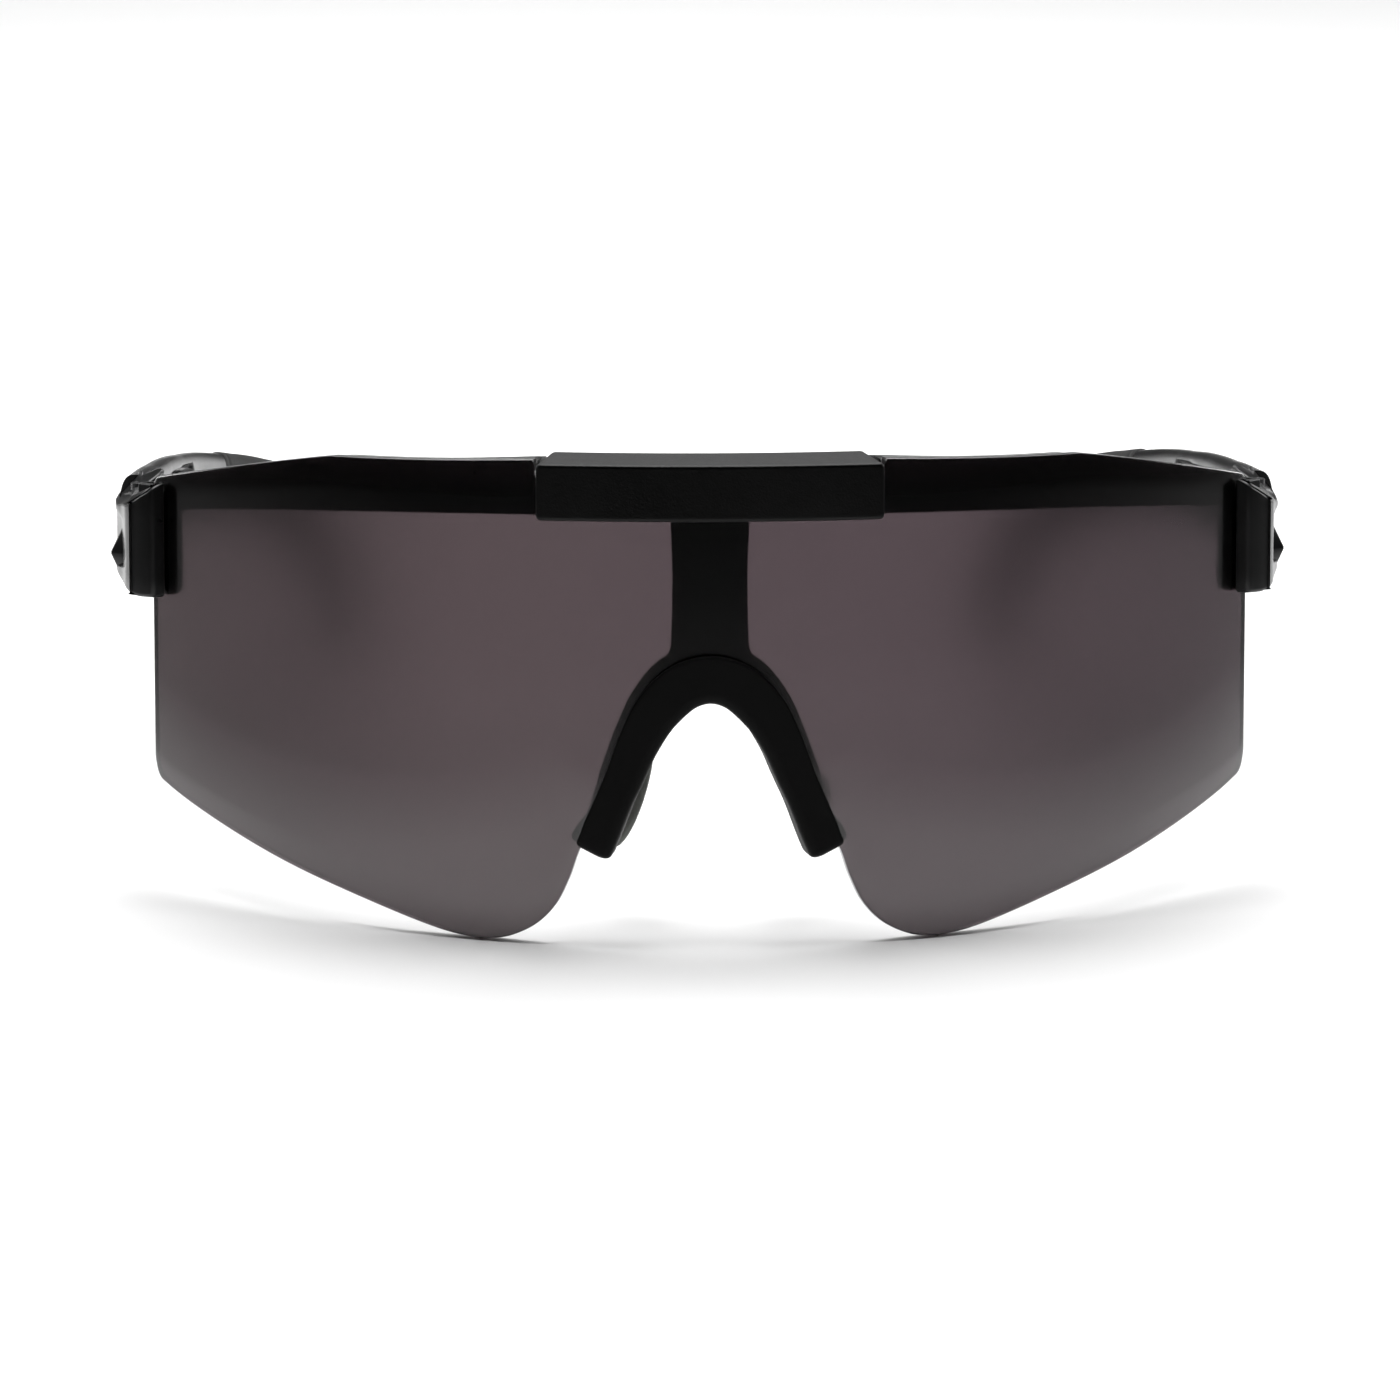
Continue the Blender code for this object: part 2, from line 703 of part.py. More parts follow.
def make_arm(side, name, look):
    outline = lug_outline()
    x, y = hinge_axis(1)
    lug = temple_piece(name, side, prism_loops(outline, LUG_LOW_Z - 2, LUG_HIGH_Z + 3), look)
    combine(lug, [make_lug_block(side)], "INTERSECT", "MANIFOLD")
    frames = temple_frames(0.0, ARM_SHARE, 15)
    share = frames[0]
    tube = tube_loops(frames, temple_depth(share) / 2, temple_height(share) / 2, 2.8, 16)
    arm = temple_piece("arm", side, tube)
    combine(lug, [arm], "UNION")
    recess = make_side_recess(side)
    combine(lug, [recess], "DIFFERENCE")
    combine(lug, [make_tooth(side)], "UNION")
    slot = [
        (x - 9, y - 4.2),
        (x + 0.6, y - 4.2),
        (x + 0.6, y + 7.4),
        (x - 9, y + 7.4),
    ]
    low, high = KNUCKLE_LOW_Z - TURN_GAP, KNUCKLE_HIGH_Z + TURN_GAP
    cuts = [
        temple_piece("hinge_slot", side, prism_loops(slot, low, high)),
        upright(side, low, high, KNUCKLE_RADIUS + TURN_GAP, "hinge_round"),
        upright(side, LUG_LOW_Z - 1, LUG_HIGH_Z + 1, SCREW_RADIUS + GAP, "screw_bore"),
        upright(side, screw_top() - SCREW_HEAD - 0.4, LUG_HIGH_Z + 2, SCREW_HEAD_RADIUS + GAP, "head_pocket"),
        upright(side, LUG_LOW_Z - 1, LUG_LOW_Z + NUT_HEIGHT + 0.5, NUT_RADIUS + GAP, "nut_pocket"),
        make_core_bore(side, CORE_START - 0.01, ARM_SHARE + 0.02, "arm_bore"),
        make_grip_pocket(side),
    ]
    return combine(lug, cuts, "DIFFERENCE")


def make_side_recess(side):
    """The shallow recess in the lug's outer face, between its upper and lower plates."""
    x, y = hinge_axis(1)
    outline = [(x + 2.3, y - 2.6), (x + 6.0, y - 3.4), (x + 7.0, y + 3.6), (x + 3.0, y + 3.0)]
    return temple_piece("side_recess", side, prism_loops(outline, LUG_LOW_Z + 2.9, LUG_HIGH_Z - 4.2))


def make_tooth(side):
    """A pointed tooth that stands in the recess."""
    x, y = hinge_axis(1)
    outline = [(x + 2.2, y + 1.0), (x + 3.9, y + 1.6), (x + 3.4, y + 3.6), (x + 2.2, y + 3.6)]
    low = LUG_LOW_Z + 2.0
    loops = prism_loops(outline, low, low + 5.4)
    middle = np.asarray(loops[0]) + (0, 0, 2.6)
    loops[0][1] = (x + 3.2, y + 1.4, low)
    loops[1][1] = (x + 2.6, y + 1.4, low + 5.4)
    return temple_piece("tooth", side, [loops[0], middle, loops[1]])


def make_core_bore(side, start, end, name):
    frames = temple_frames(start, end, 12)
    loops = tube_loops(frames, CORE_THIN / 2 + GAP, CORE_WIDE / 2 + GAP, 3.0, 8)
    return temple_piece(name, side, loops)


def grip_loops(start, end, inner, outer, half_up):
    """A rounded strip on the temple's inner face, between two depths from its surface."""
    _, centre, outward, upward = temple_frames(start, end, 14)
    share = np.linspace(start, end, 14)
    face = -temple_depth(share) / 2
    taper = np.sqrt(np.clip(1 - (np.linspace(-1, 1, 14) * 0.97) ** 8, 0.05, 1))
    loops = []
    for at in range(14):
        up = half_up * taper[at]
        section = [
            (inner, -up),
            (inner, up),
            (outer, up),
            (outer, -up),
        ]
        loops.append(
            [centre[at] + (face[at] + depth) * outward[at] + rise * upward[at] for depth, rise in section]
        )
    return loops


def make_grip_pocket(side):
    margin = 0.005
    loops = grip_loops(GRIP_START - margin, GRIP_END + margin, -2.0, GRIP_DEPTH, 2.6 + GAP)
    return temple_piece("grip_pocket", side, loops)


def make_grip(side, name, look):
    return temple_piece(name, side, grip_loops(GRIP_START, GRIP_END, -GRIP_PROUD, GRIP_DEPTH - GAP, 2.6), look)


def make_core(side, name, look):
    frames = temple_frames(CORE_START, CORE_END, 18)
    return temple_piece(name, side, tube_loops(frames, CORE_THIN / 2, CORE_WIDE / 2, 3.0, 8), look)


def make_sock(side, name, look):
    """The rubber ear sock, rounded at the tip and cut flat where it rests."""
    start = ARM_SHARE + GAP / TEMPLE_REACH
    ends = np.concatenate((np.linspace(start, 0.955, 14), (0.975, 0.988, 0.996, 1.0)))
    shrink = np.concatenate((np.ones(14), (0.97, 0.85, 0.62, 0.3)))
    loops = []
    for share, size in zip(ends, shrink):
        frames = temple_frames(share, share, 1)
        half_out = temple_depth(share) / 2 * 1.08 * size
        half_up = temple_height(share) / 2 * 1.05 * size
        loops.append(tube_loops(frames, half_out, half_up, 2.6, 16)[0])
    sock = temple_piece(name, side, loops, look)
    bore = make_core_bore(side, ARM_SHARE - 0.02, CORE_END + 0.01, "sock_bore")
    return combine(sock, [bore, make_floor(side)], "DIFFERENCE")


def make_floor(side):
    """Everything under the surface that the glasses rest on."""
    size = 30.0
    corners = [(-size, -size), (size, -size), (size, size), (-size, size)]
    x, y = hinge_axis(side)
    floor = loft("floor", prism_loops(corners, -20.0, 0.0))
    lean, drop = stance_values()
    middle = np.array((x - side * TEMPLE_TIP_IN, y + TEMPLE_REACH))
    height = drop / math.cos(lean) + middle[1] * math.tan(lean)
    floor.location = (middle[0] * MM, middle[1] * MM, height * MM)
    floor.rotation_euler = (lean, 0, 0)
    return floor


def stance_values():
    """How far the glasses lean back, and the height that then brings the lens's lobes to z = 0."""
    lobe = bend((LOBE_U, -LENS_THICKNESS + LENS_CHAMFER, 0.0))
    tip = temple_path()[-1]
    lowest = tip[2] + 0.1
    lean = math.atan2(lowest - lobe[2], tip[1] + 1.0 - lobe[1])
    return lean, lobe[2] * math.cos(lean) - lobe[1] * math.sin(lean)


def screw_top():
    """The screw's head lies just under the lug's top at the axis."""
    return LUG_HIGH_Z - 0.9


def make_hinge_screw(side, name, look):
    top = screw_top()
    head = upright(side, top - SCREW_HEAD, top, SCREW_HEAD_RADIUS, name, look)
    shank = upright(side, LUG_LOW_Z + 0.35, top - 0.2, SCREW_RADIUS, "screw_shank", sides=16)
    x, y = hinge_axis(side)
    slot_plan = [(x - 2, y - 0.2), (x + 2, y - 0.2), (x + 2, y + 0.2), (x - 2, y + 0.2)]
    slot = prism_loops(slot_plan, top - 0.4, top + 1)
    combine(head, [shank], "UNION")
    return combine(head, [loft("screw_slot", slot)], "DIFFERENCE")


def make_nut(side, name, look):
    nut = upright(side, LUG_LOW_Z + 0.2, LUG_LOW_Z + 0.2 + NUT_HEIGHT, NUT_RADIUS, name, look, sides=6)
    hole = upright(side, LUG_LOW_Z - 1, LUG_LOW_Z + 4, SCREW_RADIUS + 0.25, "nut_hole", sides=16)
    return combine(nut, [hole], "DIFFERENCE")


# ---- nose pads ----


def pad_place(side):
    """Centre of a pad, and its long, wide and thick directions. The left pad is bent further in."""
    x, y, z = pad_root(side)
    bent = PAD_LEFT_TURN if side < 0 else 0.0
    splay, turn = math.radians(PAD_SPLAY), math.radians(PAD_TURN)
    long_way = np.array((-side * math.sin(splay), 0.15, math.cos(splay)))
    long_way /= np.linalg.norm(long_way)
    normal = np.array((-side * math.cos(turn), math.sin(turn), -0.12))
    normal -= long_way * np.dot(normal, long_way)
    normal /= np.linalg.norm(normal)
    centre = np.array((side * PAD_OUT, PAD_BACK, -PAD_DOWN))
    angle = math.radians(bent) * side
    turned = np.array(
        (
            (math.cos(angle), -math.sin(angle), 0),
            (math.sin(angle), math.cos(angle), 0),
            (0, 0, 1),
        )
    )
    root = np.array((x, y, z))
    return root, root + turned @ centre, turned @ long_way, turned @ normal


def make_pad(side, name, look):
    root, centre, long_way, normal = pad_place(side)
    wide_way = np.cross(normal, long_way)
    turn = np.arange(20)[:, None] * 2 * math.pi / 20
    loops = []
    for height, size in ((-1.0, 0.62), (-0.82, 0.88), (-0.3, 1.0), (0.3, 1.0), (0.8, 0.84), (1.0, 0.5)):
        ring = (
            centre
            + size * PAD_LONG / 2 * np.sin(turn) * long_way
            + size * PAD_WIDE / 2 * np.cos(turn) * (1 - 0.14 * np.sin(turn)) * wide_way
            + height * PAD_THICK / 2 * normal
        )
        loops.append(ring)
    pad = loft(name, loops, look, root)
    box = []
    for at in (-STUD_HALF, STUD_HALF):
        corners = ((-STUD_HALF, 0.0), (STUD_HALF, 0.0), (STUD_HALF, STUD_RISE), (-STUD_HALF, STUD_RISE))
        box.append([centre + at * long_way + wide * wide_way - (0.4 + out) * normal for wide, out in corners])
    bore = [socket(centre, long_way, normal, at) for at in (-STUD_HALF - 1, STUD_HALF + 1)]
    combine(pad, [loft("pad_stud", box, None, root)], "UNION")
    return combine(pad, [loft("pad_bore", rod_loops(*bore, WIRE_RADIUS + GAP), None, root)], "DIFFERENCE")


def socket(centre, long_way, normal, at):
    """A point on the axis of the stud's bore, this far up from its middle."""
    return centre + at * long_way - (PAD_THICK / 2 + 1.0) * normal


def make_pad_wire(side, name, look):
    """Barrel at the saddle and a wire that runs back and down into the top of the pad's stud."""
    root, centre, long_way, normal = pad_place(side)
    foot = loft(
        name, rod_loops(root - (0, 0, BARREL_HALF), root + (0, 0, BARREL_HALF), BARREL_RADIUS), look, root
    )
    top = socket(centre, long_way, normal, 3.2)
    points = [
        root + (0, 0.2, 0),
        root + (0, 2.2, 0.1),
        (root + (0, 4.4, 0) + top + (0, 0, 1.8)) / 2,
        top,
        socket(centre, long_way, normal, 1.4),
        socket(centre, long_way, normal, 0.2),
    ]
    path = smooth_curve(points, 4)
    loops = []
    for at in range(len(path)):
        along = path[min(at + 1, len(path) - 1)] - path[max(at - 1, 0)]
        loops.append(rod_loops(path[at], path[at] + along, WIRE_RADIUS, 8)[0])
    return combine(foot, [loft("wire", loops, None, root)], "UNION")


# ---- the whole object ----


def make_stance():
    """The parent that leans the glasses back onto lobes and ear tips, the way they stand on a table."""
    lean, drop = stance_values()
    stance = bpy.data.objects.new("stance", None)
    stance.rotation_euler = (-lean, 0, 0)
    stance.location = (0, 0, -drop * MM)
    bpy.context.scene.collection.objects.link(stance)


def centre_front_to_back():
    """Moves the whole so that y = 0 is halfway between its front and its ear tips."""
    graph = bpy.context.evaluated_depsgraph_get()
    reach = []
    for name in ("brow_cap", "t_frame", "temple_arm_left", "ear_sock_left"):
        made = bpy.data.objects[name].evaluated_get(graph)
        rows = np.empty(len(made.data.vertices) * 3)
        made.data.vertices.foreach_get("co", rows)
        place = np.array(made.matrix_world)
        reach.append(rows.reshape(-1, 3) @ place[1, :3] + place[1, 3])
    reach = np.concatenate(reach)
    bpy.data.objects["stance"].location.y = -(reach.min() + reach.max()) / 2


def main():
    clear_scene()
    make_stance()
    tinted = material("tinted_polycarbonate", (0.075, 0.06, 0.068), 0.08)
    black = material("black_nylon", (0.012, 0.012, 0.013), 0.35)
    grained = material("grained_black_nylon", (0.02, 0.02, 0.021), 0.55)
    rubber = material("black_rubber", (0.016, 0.016, 0.016), 0.65)
    pad_rubber = material("pad_rubber", (0.03, 0.031, 0.028), 0.6)
    steel = material("steel", (0.55, 0.55, 0.56), 0.3, 1.0)
    brass = material("brass", (0.7, 0.5, 0.22), 0.35, 1.0)

    make_lens(tinted)
    make_frame(black)
    make_cap(grained)
    loft("nose_arch", nose_loops(arch_section), rubber)
    for side, word in ((-1, "left"), (1, "right")):
        make_cap_screw(side, f"cap_screw_{word}", steel)
        make_pad(side, f"nose_pad_{word}", pad_rubber)
        make_pad_wire(side, f"pad_wire_{word}", steel)
        make_arm(side, f"temple_arm_{word}", black)
        make_sock(side, f"ear_sock_{word}", rubber)
        make_core(side, f"temple_core_{word}", steel)
        make_grip(side, f"temple_grip_{word}", rubber)
        make_hinge_screw(side, f"hinge_screw_{word}", steel)
        make_nut(side, f"hinge_nut_{word}", brass)
    centre_front_to_back()


main()
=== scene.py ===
import math

import bmesh
import bpy
import numpy as np
from mathutils import Matrix, Vector


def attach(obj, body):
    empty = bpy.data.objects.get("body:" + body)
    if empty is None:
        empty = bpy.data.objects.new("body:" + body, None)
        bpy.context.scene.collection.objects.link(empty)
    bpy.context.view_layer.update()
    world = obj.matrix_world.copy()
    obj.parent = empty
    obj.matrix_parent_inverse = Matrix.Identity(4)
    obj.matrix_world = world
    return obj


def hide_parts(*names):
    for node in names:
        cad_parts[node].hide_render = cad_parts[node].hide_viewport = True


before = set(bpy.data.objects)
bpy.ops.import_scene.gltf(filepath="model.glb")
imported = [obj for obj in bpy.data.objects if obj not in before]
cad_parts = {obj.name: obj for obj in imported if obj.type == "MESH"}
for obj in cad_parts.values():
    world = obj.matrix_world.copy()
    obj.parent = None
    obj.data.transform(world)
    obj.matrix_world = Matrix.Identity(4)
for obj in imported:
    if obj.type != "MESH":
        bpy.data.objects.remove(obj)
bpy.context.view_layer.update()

# The glasses' own frame, in millimetres: x to the right, y back, z up, lens front at y = 0.
# They stand leaning back on the lens's lobes and the ear tips.
stance = {"leanDegrees": 5.2423, "drop": -0.56673, "back": -88.3705, "lensRadius": 88.0}


def toWorld(rows):
    # turned about x by the lean, moved onto the table, and from millimetres to metres
    rows = np.asarray(rows, float)
    lean = math.radians(stance["leanDegrees"])
    x, y, z = rows[..., 0], rows[..., 1], rows[..., 2]
    standY = y * math.cos(lean) + z * math.sin(lean) + stance["back"]
    standZ = z * math.cos(lean) - y * math.sin(lean) - stance["drop"]
    return np.stack((x, standY, standZ), -1) * 0.001


def bend(rows):
    # a point u along and w in front of the lens's flat sheet goes to angle u / R and radius R + w
    rows = np.asarray(rows, float)
    angle = rows[..., 0] / stance["lensRadius"]
    reach = stance["lensRadius"] + rows[..., 1]
    back = stance["lensRadius"] - reach * np.cos(angle)
    return np.stack((reach * np.sin(angle), back, rows[..., 2]), -1)


def smoothCurve(points, steps):
    # Catmull-Rom: each stretch is a cubic through its two points, with their neighbours' slopes
    points = np.asarray(points, float)
    ends = np.vstack((2 * points[0] - points[1], points, 2 * points[-1] - points[-2]))
    t = (np.arange(steps) / steps)[None, :, None]
    a, b, c, d = (ends[k : len(ends) - 3 + k, None] for k in range(4))
    cubic = (2 * a - 5 * b + 4 * c - d) * t**2 + (3 * b - a - 3 * c + d) * t**3
    rows = 0.5 * (2 * b + (c - a) * t + cubic)
    return np.vstack((rows.reshape(-1, points.shape[1]), points[-1:]))


def ease(value):
    # from 0 to 1 along 3t^2 - 2t^3
    value = np.clip(value, 0.0, 1.0)
    return value * value * (3 - 2 * value)


def roundedLoop(corners, radii, steps=6, guard=0.12):
    # each corner is the parabola (1-t)^2 a + 2t(1-t) corner + t^2 b between points a and b on its
    # edges, with one more point on each edge just before and after it, which keeps the flats flat
    corners = np.asarray(corners, float)
    radii = np.broadcast_to(radii, len(corners))[:, None]
    toBefore, toAfter = np.roll(corners, 1, 0) - corners, np.roll(corners, -1, 0) - corners
    longBefore = np.linalg.norm(toBefore, axis=1, keepdims=True)
    longAfter = np.linalg.norm(toAfter, axis=1, keepdims=True)
    reach = np.minimum(radii, 0.42 * np.minimum(longBefore, longAfter))
    a, b = corners + toBefore / longBefore * reach, corners + toAfter / longAfter * reach
    t = np.linspace(0, 1, steps)[None, :, None]
    arcs = (1 - t) ** 2 * a[:, None] + 2 * t * (1 - t) * corners[:, None] + t**2 * b[:, None]
    first = a + toBefore / longBefore * np.minimum(guard, 0.1 * longBefore)
    last = b + toAfter / longAfter * np.minimum(guard, 0.1 * longAfter)
    return np.concatenate((first[:, None], arcs, last[:, None]), 1).reshape(-1, 2)


def insetLoop(loop, distance):
    # moves a closed plan curve inwards along its normals
    along = np.roll(loop, -1, 0) - np.roll(loop, 1, 0)
    along /= np.maximum(np.linalg.norm(along, axis=1, keepdims=True), 1e-9)
    after = np.roll(loop, -1, 0)
    turning = np.sign(np.sum(loop[:, 0] * after[:, 1] - loop[:, 1] * after[:, 0]))
    return loop + turning * distance * np.column_stack((-along[:, 1], along[:, 0]))


def skin(loops):
    # closed loops joined in order, with a flat polygon over each end
    loops = np.asarray(loops, float)
    rows, around = loops.shape[:2]
    index = np.arange(rows * around).reshape(rows, around)
    after = np.roll(index, -1, 1)
    quads = np.stack((index[:-1], after[:-1], after[1:], index[1:]), -1).reshape(-1, 4)
    return loops.reshape(-1, 3), quads.tolist() + [index[0].tolist(), index[-1].tolist()]


def stack(levels, roundLow=0.0, roundHigh=0.0, steps=5):
    # plan curves at rising heights; at each end the curve draws in along a quarter circle
    levels = [(np.asarray(z, float), np.asarray(loop, float)) for z, loop in levels]
    turn = np.linspace(0, math.pi / 2, steps)
    rows = []
    if roundLow:
        z, loop = levels[0]
        for a in turn[::-1]:
            rows.append((z + roundLow * (1 - math.sin(a)), insetLoop(loop, roundLow * (1 - math.cos(a)))))
        levels = levels[1:]
    tail = []
    if roundHigh:
        z, loop = levels[-1]
        for a in turn:
            tail.append((z - roundHigh * (1 - math.sin(a)), insetLoop(loop, roundHigh * (1 - math.cos(a)))))
        levels = levels[:-1]
    loops = [np.column_stack((loop, np.broadcast_to(z, len(loop)))) for z, loop in rows + levels + tail]
    return skin(loops)


def piece(name, shells, body, look, replaced=(), mirror=1):
    # one object made of closed shells, each a pair of points and faces, in the glasses' own frame
    points, faces, offset = [], [], 0
    for shellPoints, shellFaces in shells:
        points.append(toWorld(np.asarray(shellPoints) * (mirror, 1, 1)))
        faces += [[corner + offset for corner in face] for face in shellFaces]
        offset += len(shellPoints)
    mesh = bpy.data.meshes.new(name)
    mesh.from_pydata(np.vstack(points).tolist(), [], faces)
    grid = bmesh.new()
    grid.from_mesh(mesh)
    bmesh.ops.remove_doubles(grid, verts=grid.verts, dist=2e-6)
    bmesh.ops.dissolve_degenerate(grid, dist=1e-6, edges=grid.edges)
    bmesh.ops.recalc_face_normals(grid, faces=grid.faces)
    grid.to_mesh(mesh)
    grid.free()
    mesh.shade_smooth()
    mesh.set_sharp_from_angle(angle=math.radians(42))
    mesh.materials.append(look)
    made = bpy.data.objects.new(name, mesh)
    bpy.context.scene.collection.objects.link(made)
    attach(made, body)
    if replaced:
        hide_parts(*replaced)
    print(name, len(mesh.polygons), "faces")


# Materials are built from these two classes.


class Wire:
    # wraps a socket so that arithmetic on it adds Math nodes
    def __init__(self, look, socket):
        self.look = look
        self.socket = socket

    def maths(self, operation, *values):
        node = self.look.tree.nodes.new("ShaderNodeMath")
        node.operation = operation
        for place, value in enumerate(values):
            self.look.feed(node.inputs[place], value)
        return Wire(self.look, node.outputs[0])

    def __add__(self, other):
        return self.maths("ADD", self, other)

    def __mul__(self, other):
        return self.maths("MULTIPLY", self, other)

    def __sub__(self, other):
        return self.maths("SUBTRACT", self, other)

    def size(self):
        return self.maths("ABSOLUTE", self)

    def smaller(self, other):
        return self.maths("MINIMUM", self, other)


class Look:
    # a Principled material; what doesn't vary over the surface is set on its own sockets
    def __init__(self, name, **settings):
        self.material = bpy.data.materials.new(name)
        self.material.use_nodes = True
        self.tree = self.material.node_tree
        self.shader = self.tree.nodes["Principled BSDF"]
        for socketName, value in settings.items():
            self.shader.inputs[socketName.replace("_", " ")].default_value = value
        self.place = self.node("ShaderNodeTexCoord", "Object")

    def feed(self, socket, value):
        if isinstance(value, Wire):
            self.tree.links.new(value.socket, socket)
        else:
            socket.default_value = value

    def node(self, kind, output=0, settings=None, stops=None, **inputs):
        made = self.tree.nodes.new(kind)
        for setting, value in (settings or {}).items():
            setattr(made, setting, value)
        if stops:
            ramp = made.color_ramp.elements
            while len(ramp) < len(stops):
                ramp.new(1.0)
            for element, (at, colour) in zip(ramp, stops):
                element.position = at
                element.color = colour if len(colour) == 4 else (*colour, 1.0)
        for socketName, value in inputs.items():
            self.feed(made.inputs[socketName.replace("_", " ")], value)
        return Wire(self, made.outputs[output])

    def part(self, axis):
        # one coordinate of the place on the surface, in metres: 0 across, 1 back, 2 up
        return self.node("ShaderNodeSeparateXYZ", axis, Vector=self.place)

    def noise(self, scale, detail=2.0, roughness=0.5, stretch=None):
        where = self.place
        if stretch:
            where = self.node("ShaderNodeMapping", 0, Vector=self.place, Scale=stretch)
        settings = {"Scale": scale, "Detail": detail, "Roughness": roughness}
        return self.node("ShaderNodeTexNoise", 0, Vector=where, **settings)

    def ramp(self, value, stops):
        return self.node("ShaderNodeValToRGB", 0, stops=stops, Fac=value)

    def band(self, value, low, high, out0, out1):
        # runs from out0 at low to out1 at high, and stays level beyond them
        limits = {"From_Min": low, "From_Max": high, "To_Min": out0, "To_Max": out1}
        return self.node("ShaderNodeMapRange", 0, {"clamp": True}, Value=value, **limits)

    def shade(self, tone, value):
        # a colour times a number
        mix = self.tree.nodes.new("ShaderNodeMix")
        mix.data_type = "RGBA"
        mix.blend_type = "MULTIPLY"
        mix.inputs[0].default_value = 1.0
        self.feed(mix.inputs[6], tone)
        self.feed(mix.inputs[7], value)
        return Wire(self, mix.outputs[2])

    def bump(self, height, strength, distance):
        return self.node("ShaderNodeBump", 0, Height=height, Strength=strength, Distance=distance)

    def link(self, **wires):
        for socketName, value in wires.items():
            self.feed(self.shader.inputs[socketName.replace("_", " ")], value)
        return self.material


def mouldedPlastic(name, finish):
    # moulded nylon: slow tone drift, fine orange-peel bump and faint handling marks in the roughness
    coat = {"Coat_Weight": finish["coat"], "Coat_Roughness": 0.12}
    look = Look(name, Metallic=0.0, Specular_IOR_Level=finish["gloss"], **coat)
    drift = look.noise(55.0, 3.0)
    peel = look.noise(finish["grain"], 2.0, 0.6)
    marks = look.noise(420.0, 4.0, 0.65, (1.0, 0.35, 1.0))
    return look.link(
        Base_Color=look.ramp(drift, [(0.3, finish["dark"]), (0.7, finish["light"])]),
        Roughness=look.band(drift * 0.5 + marks * 0.5, 0.3, 0.7, *finish["rough"]),
        Normal=look.bump(peel, finish["bump"], finish["height"]),
    )


def rubber(name, finish):
    # satin rubber: fine pebbled bump, dusty tone drift and a soft sheen
    sheen = {"Sheen_Weight": 0.02, "Sheen_Roughness": 0.5}
    look = Look(name, Metallic=0.0, Specular_IOR_Level=finish["gloss"], **sheen)
    drift = look.noise(70.0, 4.0)
    pebble = look.noise(finish["grain"], 3.0, 0.7)
    return look.link(
        Base_Color=look.ramp(drift * 0.7 + pebble * 0.3, [(0.3, finish["dark"]), (0.7, finish["light"])]),
        Roughness=look.band(pebble, 0.3, 0.7, *finish["rough"]),
        Normal=look.bump(pebble, finish["bump"], finish["height"]),
    )


def tintedLens(name, tint):
    # grey polycarbonate with a faint colour drift, hazy through and with a glossy hard coat
    look = Look(
        name,
        Metallic=0.0,
        IOR=tint["ior"],
        Transmission_Weight=1.0,
        Coat_Weight=tint["coat"],
        Coat_Roughness=0.03,
        Coat_IOR=1.5,
        Specular_IOR_Level=0.0,
        Roughness=tint["haze"],
    )
    # the drift runs across the lens, and the lens is darker towards both ends and towards the lobes at the
    # bottom
    across = look.part(0)
    drift = look.noise(14.0, 1.0) * 0.5 + look.band(across, -0.07, 0.07, 0.1, 0.4)
    tone = look.ramp(drift, [(0.2, tint["warm"]), (0.8, tint["cool"])])
    darkerEnds = look.band(across.size(), 0.03, 0.07, 1.0, tint["ends"])
    darkerLow = look.band(look.part(2), 0.0, 0.03, tint["lobes"], 1.0)
    return look.link(Base_Color=look.shade(tone, darkerEnds * darkerLow))


def metal(name, colour, rough, scratch):
    look = Look(name, Metallic=1.0)
    lines = look.noise(900.0, 3.0, 0.6, scratch)
    tone = look.noise(260.0, 2.0)
    darker = tuple(0.78 * part for part in colour)
    return look.link(
        Base_Color=look.ramp(tone, [(0.3, darker), (0.7, colour)]),
        Roughness=look.band(lines, 0.3, 0.7, rough - 0.08, rough + 0.1),
        Normal=look.bump(lines, 0.15, 0.00002),
    )


lensTint = {
    "warm": (0.074, 0.056, 0.059),
    "cool": (0.064, 0.048, 0.055),
    "ends": 0.62,
    "lobes": 0.6,
    "coat": 0.6,
    "haze": 0.2,
    "ior": 1.5,
}
lensLook = tintedLens("tinted lens", lensTint)

frameNylon = {
    "dark": (0.0008, 0.0008, 0.0009),
    "light": (0.0016, 0.0016, 0.0017),
    "rough": (0.2, 0.3),
    "grain": 2600.0,
    "bump": 0.1,
    "height": 0.00003,
    "gloss": 0.18,
    "coat": 0.0,
}
templeNylon = {
    "dark": (0.006, 0.006, 0.0063),
    "light": (0.011, 0.011, 0.0113),
    "rough": (0.26, 0.36),
    "grain": 2600.0,
    "bump": 0.08,
    "height": 0.00003,
    "gloss": 0.3,
    "coat": 0.2,
}
capNylon = {
    "dark": (0.0004, 0.0004, 0.0004),
    "light": (0.0016, 0.0016, 0.0017),
    "rough": (0.3, 0.42),
    "grain": 4200.0,
    "bump": 0.7,
    "height": 0.00006,
    "gloss": 0.22,
    "coat": 0.0,
}
archRubber = {
    "dark": (0.002, 0.002, 0.002),
    "light": (0.004, 0.004, 0.0041),
    "rough": (0.5, 0.62),
    "grain": 3600.0,
    "bump": 0.2,
    "height": 0.00004,
    "gloss": 0.1,
}
sockRubber = {
    "dark": (0.012, 0.012, 0.012),
    "light": (0.022, 0.022, 0.022),
    "rough": (0.55, 0.7),
    "grain": 3200.0,
    "bump": 0.25,
    "height": 0.00005,
    "gloss": 0.2,
}
padRubber = {
    "dark": (0.10, 0.105, 0.095),
    "light": (0.19, 0.195, 0.18),
    "rough": (0.5, 0.65),
    "grain": 2800.0,
    "bump": 0.35,
    "height": 0.00006,
    "gloss": 0.2,
}

